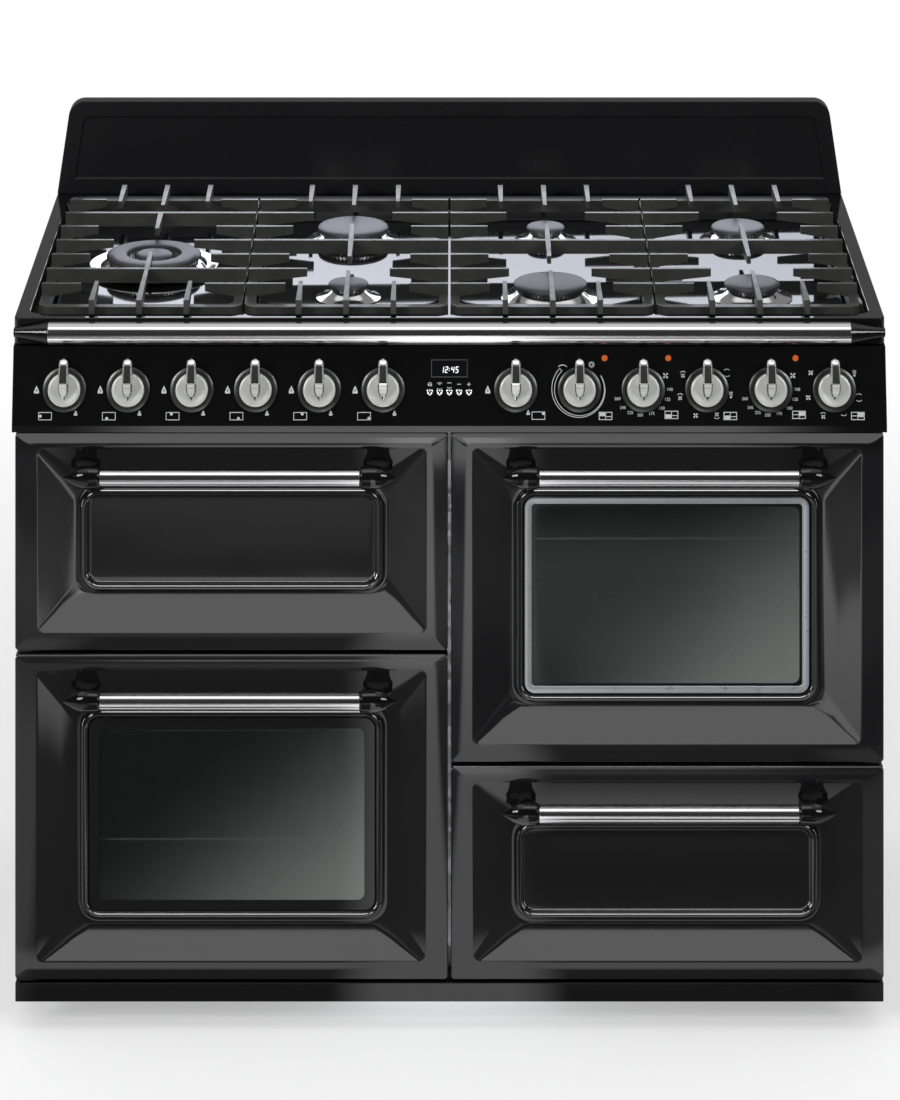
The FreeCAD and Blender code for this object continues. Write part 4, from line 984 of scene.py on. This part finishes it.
def arc_strokes(x, y, radius, line, start, end, steps=28, grow=0.0):
    """Quads along an arc; angles in degrees, anticlockwise from 3 o'clock; grow widens its sweep."""
    strokes = []
    for n in range(steps):
        a, b = (math.radians(start + (end - start) * m / steps) for m in (n, n + 1))
        near, far = (radius + grow * m / steps for m in (n, n + 1))
        strokes.append([(x + r * math.cos(t), y + r * math.sin(t))
                        for r, t in ((near, a), (near + line, a), (far + line, b), (far, b))])
    return strokes


def flame_mark(x, y, wide, tall):
    """A small flame: two limbs that meet in a tip over a thick base."""
    limb = ((0.5, -0.5), (0.5, -0.2), (0.14, 0.32), (0.0, 0.5), (0.0, 0.08), (0.14, -0.14), (0.14, -0.5))
    marks = [[(x + side * a * wide, y + b * tall) for a, b in limb] for side in (-1, 1)]
    return marks + [box_points(x - 0.14 * wide, y - 0.5 * tall, x + 0.14 * wide, y - 0.22 * tall)]


# where each gas knob's burner lies in its little hob drawing, from the drawing's middle
BURNER_SPOTS = ((-6.0, 0.0), (-2.6, -2.7), (-1.6, 2.7), (2.6, -2.7), (2.6, 2.7), (6.2, -2.7), (6.2, 2.7))
BURNER_DOT = 1.9
ICON_WIDE, ICON_TALL = 17.0, 9.7
DOORS_DRAWN = {"grill": (-7.3, 0.7, -0.5, 3.7), "left": (-7.3, -3.7, -0.5, -0.3),
               "right": (0.5, -0.3, 7.3, 3.7)}


def icon_frame(x, y, line):
    wide, tall = ICON_WIDE / 2, ICON_TALL / 2
    return outline_boxes(x - wide, y - tall, x + wide, y + tall, line)


def oven_mark(x, y, filled):
    """The cooker's four doors with one filled, to say which the knob serves."""
    wide, tall = ICON_WIDE / 2, ICON_TALL / 2
    walls = ((-0.45, -tall, 0.45, tall), (-wide, -0.25, 0, 0.6), (0, -1.25, wide, -0.4))
    return icon_frame(x, y, 0.9) + [box_points(x + x0, y + y0, x + x1, y + y1)
                                    for x0, y0, x1, y1 in (*walls, DOORS_DRAWN[filled])]


def fan_mark(x, y, size):
    """A small fan: four leaves round a hub."""
    marks = []
    for n in range(4):
        middle = math.radians(45 + 90 * n)
        leaf = ((1.0, middle - 0.4), (1.1, middle), (1.0, middle + 0.4))
        marks.append([(x, y)] + [(x + size * r * math.cos(t), y + size * r * math.sin(t)) for r, t in leaf])
    return marks


def top_heat(x, y, size):
    """A curved stroke over a space, for heat from above."""
    return arc_strokes(x, y - size * 0.1, size, 0.7, 45, 135, 8)


def bottom_heat(x, y, size):
    """A curved stroke under a space, for heat from below."""
    return arc_strokes(x, y + size * 0.1, size, 0.7, 225, 315, 8)


def function_mark(kind, x, y):
    """One of the round symbols of the oven switches."""
    if kind == "arcs":
        return top_heat(x, y, 4.6) + bottom_heat(x, y, 4.6)
    if kind == "fan":
        return fan_mark(x, y, 3.1)
    if kind == "fan_over":
        return fan_mark(x, y - 1.3, 2.6) + top_heat(x, y - 0.4, 4.4)
    if kind == "fan_under":
        return fan_mark(x, y + 1.3, 2.6) + bottom_heat(x, y + 0.6, 4.4)
    if kind == "under":
        return bottom_heat(x, y + 2.0, 4.6)
    return fan_mark(x, y + 1.6, 2.5) + [circle_points(x, y - 2.6, 1.5, 12)]


# the symbols round the two switches, as kind, right and up from the knob's middle
SWITCH_MARKS = {
    9: (("arcs", 25.4, 20.1), ("drop", 30.2, -6.4), ("fan_under", 12.1, -31.4), ("fan", -14.5, -31.4),
        ("fan_over", -29.9, 18.0), ("fan_over", -33.8, -9.0)),
    11: (("fan", -29.3, 20.1), ("drop", 25.7, 19.6), ("arcs", 30.9, -9.7), ("fan", -33.0, -9.7),
         ("fan_over", -14.5, -31.6), ("under", 11.3, -29.0)),
}
ICON_SPOTS = {7: (32.6, -31.8, "grill"), 8: (35.3, -30.5, "left"), 9: (29.0, -31.9, "left"),
              10: (35.3, -30.5, "right"), 11: (29.0, -31.9, "right")}
GRILL_KNOB = 7
LAMP_MARK = (15.4, 29.9)


def gas_marks(number):
    """Full and low flame, and the hob drawing, round a gas knob."""
    low_flame, (x, y) = ((15.6, -27.4), (28.4, -31.5)) if number == 6 else ((14.5, -28.2), (-23.9, -32.1))
    right, up = BURNER_SPOTS[number]
    return (flame_mark(-35.2, 0, 6.3, 9.6) + flame_mark(*low_flame, 4.4, 6.3)
            + icon_frame(x, y, 0.8) + [circle_points(x + right, y + up, BURNER_DOT, 14)])


def grill_marks():
    """The rising crescent, the grill arc and the oven lamp round the grill knob."""
    crescent, low_end, high_end = 31.0, 135, 392
    marks = arc_strokes(0, 0, crescent, 0.8, low_end, high_end, 64)
    marks += arc_strokes(0, 0, crescent + 4.0, 0.8, low_end, high_end, 64, grow=-3.6)
    marks += arc_strokes(0, 0, crescent, 4.8, low_end - 1.4, low_end, 1)
    marks += arc_strokes(-21.0, 22.0, 7.0, 1.1, 45, 135, 12)
    marks += arc_strokes(*LAMP_MARK, 1.6, 1.3, 0, 360, 16)
    return marks + [circle_points(*spot, 0.65, 8) for spot in circle_points(*LAMP_MARK, 3.7, 8)]


def panel_marks():
    """All strokes printed on the panel, as (matrix, points)."""
    drawings = []
    for number, x in enumerate(knob_xs()):
        if number < GRILL_KNOB:
            marks = gas_marks(number)
        else:
            marks = oven_mark(*ICON_SPOTS[number])
            if number == GRILL_KNOB:
                marks += grill_marks()
            elif number in SWITCH_MARKS:
                marks += [points for mark in SWITCH_MARKS[number] for points in function_mark(*mark)]
            else:
                marks += fan_mark(28.3, 16.7, 3.6)
        place = on_panel(x, KNOB_HEIGHT, sizes().print_lift)
        drawings += [(place, points) for points in marks]
    return drawings


# oven temperatures, each with its place right and up from its knob's middle
DEGREES = (("100", 33.5, 0.0), ("125", 30.5, -12.0), ("150", 23.2, -22.5), ("175", 10.3, -29.1),
           ("200", -4.2, -30.9), ("225", -16.5, -27.9), ("245", -25.7, -21.9), ("260", -32.4, -11.2))
THERMOSTATS = (8, 10)
NUMBER_TALL = 5.2 * MM


def number_mesh(words):
    """Plain numbers as a flat mesh, centred."""
    curve = bpy.data.curves.new("number", "FONT")
    curve.body = words
    curve.size = NUMBER_TALL
    curve.align_x = "CENTER"
    curve.align_y = "CENTER"
    holder = new_object("number", curve)
    mesh = evaluated_mesh(holder)
    bpy.data.objects.remove(holder)
    return mesh


def dial_numbers():
    """The oven temperatures round the two thermostat knobs."""
    shape = bmesh.new()
    xs = knob_xs()
    for number in THERMOSTATS:
        place = on_panel(xs[number], KNOB_HEIGHT, sizes().print_lift)
        for words, x, y in DEGREES:
            mesh = number_mesh(words)
            mesh.transform(place @ Matrix.Translation((x * MM, y * MM, 0)))
            add_mesh(shape, mesh)
    return shape


class COOKER_OT_panel_print(bpy.types.Operator):
    """Flames, hob drawings, dial numbers and symbols printed on the panel"""
    bl_idname = "cooker.panel_print"
    bl_label = "Panel print"

    def execute(self, context):
        settle(drawing_piece("panel_symbols", panel_marks(), "printed_ink"), "cooker", "black_enamel")
        settle(from_bmesh("panel_dial_numbers", dial_numbers(), "printed_ink"), "cooker", "black_enamel")
        return {"FINISHED"}


# ---- clock, buttons and pilot lamps ----

CLOCK_HEIGHT = 840 * MM
CLOCK_FACE = 0.8 * MM
BUTTON_HEIGHT = 812 * MM
BUTTON_STEP = 12.3
BUTTON_MARK_UP = 9.4
# (radius, height off the panel) in mm of a button's dished cap and its stem
BUTTON_CAP = ((0, -7.5), (4.0, -7.5), (4.0, 0.9), (3.8, 1.3), (3.4, 1.45), (2.7, 1.05), (1.8, 0.7),
              (0.9, 0.5), (0, 0.45))
SEGMENTS = {"1": "bc", "2": "abged", "4": "fgbc", "5": "afgcd"}
CLOCK_DIGITS = (("1", -11.4), ("2", -6.0), ("4", 1.9), ("5", 7.3))
DIGITS_FOOT = -5.4
COLON, COLON_DOT = ((0.2, -0.2), (-0.2, -2.8)), 0.55
BORDER_WIDE, BORDER_TALL, BORDER_LINE = 22.8, 10.4, 0.55
DIGIT_SLANT = 0.14


def digit_strokes(digit, x, y):
    """The lit bars of one clock digit."""
    wide, tall, line = 3.7, 7.6, 0.85
    half, gap, end = tall / 2, 0.25, 0.35
    bars = {
        "a": (gap, tall - line, wide - gap, tall), "g": (gap, half - line / 2, wide - gap, half + line / 2),
        "d": (gap, 0, wide - gap, line), "f": (0, half + gap, line, tall - end),
        "b": (wide - line, half + gap, wide, tall - end), "e": (0, end, line, half - gap),
        "c": (wide - line, end, wide, half - gap),
    }
    return [[(x + px + DIGIT_SLANT * py, y + py) for px, py in box_points(*bars[bar])]
            for bar in SEGMENTS[digit]]


def button_marks():
    """A bell, a pot, a cooking time, minus and plus over the five buttons."""
    y = BUTTON_MARK_UP
    bell, pot, timed, minus, plus = ((number - 2) * BUTTON_STEP for number in range(5))
    marks = arc_strokes(bell, y, 1.7, 0.75, 0, 180, 10)
    marks += outline_boxes(bell - 2.4, y - 2.2, bell + 2.4, y, 0.7)
    marks += top_heat(pot, y - 2.0, 4.0) + bottom_heat(pot, y - 2.0, 4.0) + [circle_points(pot, y, 0.8, 10)]
    marks += bottom_heat(timed, y - 1.0, 3.6) + [box_points(timed - 2.6, y + 1.2, timed + 2.6, y + 2.0)]
    marks += [box_points(x - 2.4, y - 0.4, x + 2.4, y + 0.4) for x in (minus, plus)]
    return marks + [box_points(plus - 0.4, y + 0.4, plus + 0.4, y + 2.4),
                    box_points(plus - 0.4, y - 2.4, plus + 0.4, y - 0.4)]


class COOKER_OT_clock(bpy.types.Operator):
    """The clock window with its digits, the five buttons and the pilot lamps"""
    bl_idname = "cooker.clock"
    bl_label = "Clock and lamps"

    def execute(self, context):
        lenses = softened("lens_mouldings", "panel_lenses", "lens_plastic", 0.5 * MM)
        settle(lenses, "cooker", "dark_lens", "panel_lenses")
        digits = [bar for digit, x in CLOCK_DIGITS for bar in digit_strokes(digit, x, DIGITS_FOOT)]
        digits += [circle_points(*dot, COLON_DOT, 10) for dot in COLON]
        edge = outline_boxes(-BORDER_WIDE, -BORDER_TALL, BORDER_WIDE, BORDER_TALL, BORDER_LINE)
        grey = printed_ink("border_ink", (0.13, 0.13, 0.13))
        lift = sizes().print_lift
        for name, marks, height, stand, material, slot in (
                ("clock_digits", digits, CLOCK_HEIGHT, CLOCK_FACE + lift, "lit_digit", "dark_lens"),
                ("clock_border", edge, CLOCK_HEIGHT, CLOCK_FACE + lift, grey, "dark_lens"),
                ("button_symbols", button_marks(), BUTTON_HEIGHT, lift, "printed_ink", "black_enamel")):
            place = on_panel(0, height, stand)
            settle(drawing_piece(name, [(place, points) for points in marks], material), "cooker", slot)
        for number in range(1, 6):
            node = f"clock_button_{number}"
            shape = bmesh.new()
            add_spun(shape, BUTTON_CAP, 72, place=on_panel((number - 3) * BUTTON_STEP * MM, BUTTON_HEIGHT))
            settle(from_bmesh(f"{node}_cap", shape, "polished_metal"), node, "black_plastic", node)
        return {"FINISHED"}


# ---- hob ----

class COOKER_OT_pan_supports(bpy.types.Operator):
    """The four cast iron pan supports"""
    bl_idname = "cooker.pan_supports"
    bl_label = "Pan supports"

    def execute(self, context):
        for number in range(1, 5):
            node = f"pan_support_{number}"
            made = softened(f"{node}_casting", node, "matt_iron", sizes().grate_round, 3)
            settle(made, node, "cast_iron", node)
        return {"FINISHED"}


# column, row behind (1) or before (-1) the middle, cap radius in mm
BURNERS = ((2, 1, 48.0), (2, -1, 26.0), (3, 1, 26.0), (3, -1, 48.0), (4, 1, 36.5), (4, -1, 36.5))
ROW_ASIDE = 130 * MM
# (radius, height over the pan) in mm of the wok burner's dish, outer crown and inner crown
WOK_DISH = ((0, 0.4), (72, 0.4), (84, 3.4), (86, 5.4), (85.4, 6.4), (83.6, 6.4), (79, 4.6), (71, 4.4),
            (68, 6.2), (65, 8.8), (60, 10.4), (58, 11.0), (0, 11.0))
WOK_RING = ((36.5, 10.0), (57.4, 10.0), (57.4, 14.8), (36.5, 14.8), (36.5, 10.0))
WOK_HUB = ((0, 10.0), (21.0, 10.0), (21.0, 14.8), (0, 14.8))
WOK_CAP, WOK_CAP_HOLE, HUB_CAP = 63.0, 36.0, 24.5
WOK_PORTS = (58.4, 35.4, 22.0)
PORTS_INSET = 4.6
MEDIUM_CAP = 36.5
PORTS_HEIGHT = 12.7
TOOTH = {"Tooth Depth": 2.6 * MM, "Tooth Width": 2.0 * MM, "Tooth Height": 4.0 * MM}


def burner_spot(column, row):
    low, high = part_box(f"pan_support_{column}")
    return Vector(((low.x + high.x) / 2, BURNER_Y + row * ROW_ASIDE, PAN))


def skirt_profile(radius):
    """The polished skirt: it flares out to the pan in one sweep."""
    flare = ((15.5, 0.4), (15.8, 1.0), (12.0, 1.8), (6.5, 3.2), (2.0, 5.4), (-1.6, 8.2), (-4.0, 10.6),
             (-5.0, 11.2))
    return [(0, 0.4), *((radius + out, height) for out, height in flare), (0, 11.2)]


def crown_profile(radius):
    return [(0, 10.0), (radius - 5.6, 10.0), (radius - 5.6, 14.6), (0, 14.6)]


def cap_profile(radius, inner=0.0):
    """A matt cap with a rounded rim, standing on its crown."""
    rim = ((3.0, 15.0), (1.0, 15.4), (0.0, 16.4), (0.1, 18.0), (0.8, 19.2), (2.2, 20.2), (5.0, 21.0),
           (9.0, 21.6))
    half = [(inner, 15.0), *((radius - inset, height) for inset, height in rim)]
    if inner:
        return half + [(inner + 4.0, 21.4), (inner + 1.0, 20.6), (inner, 19.4), (inner, 15.0)]
    return half + [(radius * 0.4, 21.9), (0, 22.0)]


def spun_piece(name, jobs, *materials):
    """Several spun profiles as one piece: (profile, spot, material)."""
    shape = bmesh.new()
    for profile, spot, material in jobs:
        add_spun(shape, profile, 80, material, centre=spot)
    return from_bmesh(name, shape, *materials, smooth=32.0)


def ports_tree():
    """Geometry nodes: a ring of flame port teeth."""
    tree = bpy.data.node_groups.new("flame_port_ring", "GeometryNodeTree")
    for key, kind in (("Radius", "Float"), ("Count", "Int"), ("Tooth Depth", "Float"),
                      ("Tooth Width", "Float"), ("Tooth Height", "Float"), ("Finish", "Material")):
        tree.interface.new_socket(key, in_out="INPUT", socket_type=f"NodeSocket{kind}")
    tree.interface.new_socket("Geometry", in_out="OUTPUT", socket_type="NodeSocketGeometry")
    given = add_node(tree, "NodeGroupInput").outputs
    ring = add_node(tree, "GeometryNodeMeshCircle", Vertices=given["Count"], Radius=given["Radius"])
    size = add_node(tree, "ShaderNodeCombineXYZ", given["Tooth Depth"], given["Tooth Width"],
                    given["Tooth Height"])
    tooth = add_node(tree, "GeometryNodeMeshCube", size.outputs[0])
    spot = add_node(tree, "GeometryNodeInputPosition")
    turn = add_node(tree, "FunctionNodeAlignEulerToVector", axis="X", pivot_axis="Z", Vector=spot.outputs[0])
    copies = add_node(tree, "GeometryNodeInstanceOnPoints", Points=ring.outputs[0],
                      Instance=tooth.outputs["Mesh"], Rotation=turn.outputs[0])
    whole = add_node(tree, "GeometryNodeRealizeInstances", copies.outputs[0])
    coat = add_node(tree, "GeometryNodeSetMaterial", Geometry=whole.outputs[0], Material=given["Finish"])
    add_node(tree, "NodeGroupOutput", coat.outputs[0])
    return tree


def grown_mesh(tree, values):
    """Run a geometry nodes tree with these inputs and return its plain mesh."""
    holder = new_object("grown", bpy.data.meshes.new("grown"))
    grower = holder.modifiers.new("grow", "NODES")
    grower.node_group = tree
    for item in tree.interface.items_tree:
        if item.name in values:
            grower[item.identifier] = values[item.name]
    mesh = evaluated_mesh(holder)
    holder.modifiers.clear()
    bpy.data.objects.remove(holder)
    return mesh


class COOKER_OT_burners(bpy.types.Operator):
    """Seven burners: polished skirts, crowns with flame ports and matt caps"""
    bl_idname = "cooker.burners"
    bl_label = "Burners"

    def execute(self, context):
        wok = burner_spot(1, 0)
        skirts, caps, rings = [(WOK_DISH, wok, 0), (WOK_RING, wok, 1), (WOK_HUB, wok, 1)], [], []
        for column, row, radius in BURNERS:
            spot = burner_spot(column, row)
            skirts += [(skirt_profile(radius), spot, 0), (crown_profile(radius), spot, 1)]
            caps.append((cap_profile(radius), spot, 0))
            rings.append((spot, radius - PORTS_INSET))
        caps += [(cap_profile(WOK_CAP, WOK_CAP_HOLE), wok, 0), (cap_profile(HUB_CAP), wok, 0)]
        rings += [(wok, radius) for radius in WOK_PORTS]
        settle(spun_piece("burner_skirts", skirts, "polished_metal", "cast_alloy"), "cooker", "valve_metal",
               "burner_cups")
        settle(spun_piece("burner_cap_discs", caps, "cap_enamel"), "cooker", "cap_enamel", "burner_caps")
        self.ports(rings)
        return {"FINISHED"}

    def ports(self, rings):
        """The teeth between the flame ports of every burner, as one piece."""
        tree = ports_tree()
        per_length = sizes().flame_ports / MEDIUM_CAP
        shape = bmesh.new()
        for spot, radius in rings:
            mesh = grown_mesh(tree, {"Radius": radius * MM, "Count": int(radius * per_length),
                                     "Finish": finish("cast_alloy"), **TOOTH})
            mesh.transform(Matrix.Translation(spot + Vector((0, 0, PORTS_HEIGHT * MM))))
            add_mesh(shape, mesh)
        settle(from_bmesh("burner_flame_ports", shape, "cast_alloy"), "cooker", "valve_metal")


# ---- stage ----

# the photograph: its size and the row and column of the camera's level line and middle, in pixels
PHOTO_WIDE, PHOTO_TALL = 900, 1100
HORIZON_ROW, MIDDLE_COLUMN = -926.0, 449.4
PIXELS_A_METRE = 792.7
EYE_AHEAD, EYE_HEIGHT = 5.15, 2.471


def upright_camera():
    """A camera whose picture plane stands upright while it looks down, as in the photograph."""
    focal = PIXELS_A_METRE * EYE_AHEAD
    drop = (PHOTO_TALL / 2 - HORIZON_ROW) / focal
    aside = (PHOTO_WIDE / 2 - MIDDLE_COLUMN) / focal
    back = Vector((-aside, -1.0, drop))
    stretch = back.length
    back.normalize()
    lens = bpy.data.cameras.new("camera")
    camera = new_object("camera", lens)
    camera.parent = new_object("camera_stand", None)
    camera.matrix_parent_inverse = Matrix((
        (1, 0, back.x, 0), (0, 0, back.y, FRONT - EYE_AHEAD), (0, 1, back.z, EYE_HEIGHT), (0, 0, 0, 1)))
    lens.lens = lens.sensor_width * focal * stretch / PHOTO_TALL
    lens.clip_start, lens.clip_end = 0.1, 100
    bpy.context.scene.camera = camera


WHITE, COOL_WHITE = (1, 1, 1), (0.86, 0.9, 1.0)
# name: place, aim, width, height, watts, colour
LAMPS = {
    "top_lamp": ((0, -1.3, 3.2), (0, -0.9, 0), 1.6, 1.2, 8, WHITE),
    "left_lamp": ((-3.4, -3.9, 3.0), (0, 0, 0.7), 1.6, 1.6, 90, WHITE),
    "right_lamp": ((3.4, -3.9, 3.0), (0, 0, 0.7), 1.6, 1.6, 70, WHITE),
    "hob_strip": ((0, 0.296, 1.02), (0, -0.6, 0.98), 1.02, 0.18, 1.7, COOL_WHITE),
    "slope_lamp": ((0, -2.0, 0.69), (0, 0, 0.69), 3.2, 0.78, 18, WHITE),
    "over_doors": ((0, -1.7, 3.0), (0, -0.3, 0.5), 3.0, 0.5, 130, WHITE),
    "beside_left": ((-3.0, -0.5, 0.6), (0, -0.3, 0.5), 0.5, 1.2, 60, WHITE),
    "beside_right": ((3.0, -0.5, 0.6), (0, -0.3, 0.5), 0.5, 1.2, 26, WHITE),
    "floor_strip": ((0, -1.0, 0.02), (0, -1.0, 1.0), 3.0, 0.35, 4.5, WHITE),
}
# these keep their light to the pieces given to them
LAMPS_APART = (*DOOR_LAMPS, "floor_strip")


def soft_lamp(name, place, aim, width, height, power, colour):
    """A rectangular soft lamp that points at a place."""
    lamp = bpy.data.lights.new(name, "AREA")
    lamp.shape = "RECTANGLE"
    lamp.size, lamp.size_y = width, height
    lamp.energy = power
    lamp.color = colour
    holder = new_object(name, lamp)
    holder.location = place
    holder.rotation_mode = "QUATERNION"
    holder.rotation_quaternion = (Vector(aim) - Vector(place)).to_track_quat("-Z", "Y")
    holder.visible_camera = False
    if name in LAMPS_APART:
        holder.light_linking.receiver_collection = bpy.data.collections.new(f"{name}_pieces")


def studio_world():
    """White to the camera; the object sees a studio bright overhead, grey behind and dark in front."""
    world = bpy.data.worlds.new("studio")
    bpy.context.scene.world = world
    world.use_nodes = True
    tree = world.node_tree
    tree.nodes.clear()
    axes = axes_of(tree, add_node(tree, "ShaderNodeTexCoord").outputs["Generated"])
    behind = ease(tree, axes["Y"], -0.1, 0.4, 0.05, 0.3)
    above = ease(tree, axes["Z"], 0.7, 0.86, 0.0, 1.1)
    path = add_node(tree, "ShaderNodeLightPath").outputs
    level = arithmetic(tree, "MAXIMUM", behind, above, path["Is Camera Ray"], path["Is Transmission Ray"])
    light = add_node(tree, "ShaderNodeBackground", Strength=level)
    add_node(tree, "ShaderNodeOutputWorld", light.outputs[0])


def floor_sheen(tree, place):
    """Painted reflections: how brightly the floor glows in the enamel, as the brightest of six patches of it.
    """
    axes = axes_of(tree, place)
    across = axes["X"]
    ahead = arithmetic(tree, "MULTIPLY", axes["Y"], -1.0)
    aside = arithmetic(tree, "ABSOLUTE", across, 0.0)
    # each patch is a product of ramps: what it follows, from, to, level before, level after
    field = ((ahead, 1.3, 1.6, 0.13, 0.45), (ahead, 1.85, 2.15, 1.0, 0.3), (across, 0.45, 0.6, 1.0, 0.4))
    left = ((across, -0.5, -0.62, 0.0, 0.75), (ahead, 1.1, 1.8, 1.0, 0.0))
    right = ((across, 0.48, 0.58, 0.0, 0.4), (ahead, 0.9, 1.2, 1.0, 0.0))
    foot = ((ahead, 0.4, 0.42, 0.0, 1.4), (ahead, 0.46, 0.54, 1.0, 0.0))
    strip = ((aside, 0.08, 0.17, 1.0, 0.0), (ahead, 1.0, 1.9, 1.5, 2.4))
    band = ((aside, 0.45, 0.75, 2.5, 0.0), (ahead, 2.34, 2.44, 0.0, 1.0), (ahead, 2.62, 2.8, 1.0, 0.0))
    patches = [arithmetic(tree, "MULTIPLY", *(ease(tree, *ramp) for ramp in ramps))
               for ramps in (field, left, right, foot, strip, band)]
    return arithmetic(tree, "MAXIMUM", *patches)


def floor_finish():
    """A matt white floor that fades into the white background away from the object, and that glows in patches
    in glossy rays as painted reflections for the enamel.
    """
    material, tree, shader = blank_material("pale_floor", Roughness=0.8)
    principled, output = tree.nodes
    place = object_place(tree)
    speckle = noise(tree, place, scale=30.0, detail=4.0)
    feed(tree, shader["Base Color"], mix_colour(tree, speckle, (0.8, 0.8, 0.8), (0.84, 0.84, 0.84)))
    length = add_node(tree, "ShaderNodeVectorMath", place, operation="LENGTH").outputs["Value"]
    far = ease(tree, length, 1.0, 2.6, 0.0, 1.0)
    path = add_node(tree, "ShaderNodeLightPath").outputs
    seen = path["Is Camera Ray"]

    def glow(strength):
        return add_node(tree, "ShaderNodeEmission", Strength=strength).outputs[0]

    def mixed(share, first, second):
        node = add_node(tree, "ShaderNodeMixShader", share, first, second)
        return node.outputs[0]

    lift = glow(arithmetic(tree, "MULTIPLY", seen, 0.4))
    lit = add_node(tree, "ShaderNodeAddShader", principled.outputs["BSDF"], lift).outputs[0]
    shown = mixed(arithmetic(tree, "MULTIPLY", far, seen), lit, glow(1.0))
    # in glossy rays the floor glows in patches: painted reflections
    mirrored = mixed(path["Is Glossy Ray"], shown, glow(floor_sheen(tree, place)))
    feed(tree, output.inputs["Surface"], mirrored)
    return material


class COOKER_OT_stage(bpy.types.Operator):
    """The pale floor, the soft lamps and the camera"""
    bl_idname = "cooker.stage"
    bl_label = "Stage"

    def execute(self, context):
        context.scene.view_settings.view_transform = "Standard"
        shape = bmesh.new()
        lathe(shape, [(radius, 0) for radius in (0, 0.7, 1.4, 3.0, 6.0)], 64)
        point_along(shape, Vector((0, 0, 1)))
        from_bmesh("floor", shape, floor_finish())
        studio_world()
        upright_camera()
        for name, lamp in LAMPS.items():
            soft_lamp(name, *lamp)
        return {"FINISHED"}


class COOKER_PT_panel(bpy.types.Panel):
    bl_label = "Range cooker"
    bl_idname = "COOKER_PT_panel"
    bl_space_type = "VIEW_3D"
    bl_region_type = "UI"
    bl_category = "Range cooker"

    def draw(self, context):
        for settings in (context.scene.cooker_sizes, context.scene.cooker_colours):
            box = self.layout.box()
            for key in settings.__annotations__:
                box.prop(settings, key)
        for operator in OPERATORS:
            self.layout.operator(operator.bl_idname)


OPERATORS = (COOKER_OT_stage, COOKER_OT_body, COOKER_OT_hidden_metal, COOKER_OT_doors, COOKER_OT_windows,
             COOKER_OT_handles, COOKER_OT_rail, COOKER_OT_knobs, COOKER_OT_panel_print, COOKER_OT_clock,
             COOKER_OT_pan_supports, COOKER_OT_burners)
CLASSES = (CookerSizes, CookerColours, *OPERATORS, COOKER_PT_panel)


def register():
    for item in CLASSES:
        bpy.utils.register_class(item)
    bpy.types.Scene.cooker_sizes = bpy.props.PointerProperty(type=CookerSizes)
    bpy.types.Scene.cooker_colours = bpy.props.PointerProperty(type=CookerColours)


def unregister():
    del bpy.types.Scene.cooker_colours
    del bpy.types.Scene.cooker_sizes
    for item in reversed(CLASSES):
        bpy.utils.unregister_class(item)


def main():
    register()
    bpy.ops.cooker.stage()
    bpy.ops.cooker.body()
    bpy.ops.cooker.hidden_metal()
    bpy.ops.cooker.doors()
    bpy.ops.cooker.windows()
    bpy.ops.cooker.handles()
    bpy.ops.cooker.rail()
    bpy.ops.cooker.knobs()
    bpy.ops.cooker.panel_print()
    bpy.ops.cooker.clock()
    bpy.ops.cooker.pan_supports()
    bpy.ops.cooker.burners()


if __name__ == "__main__":
    main()
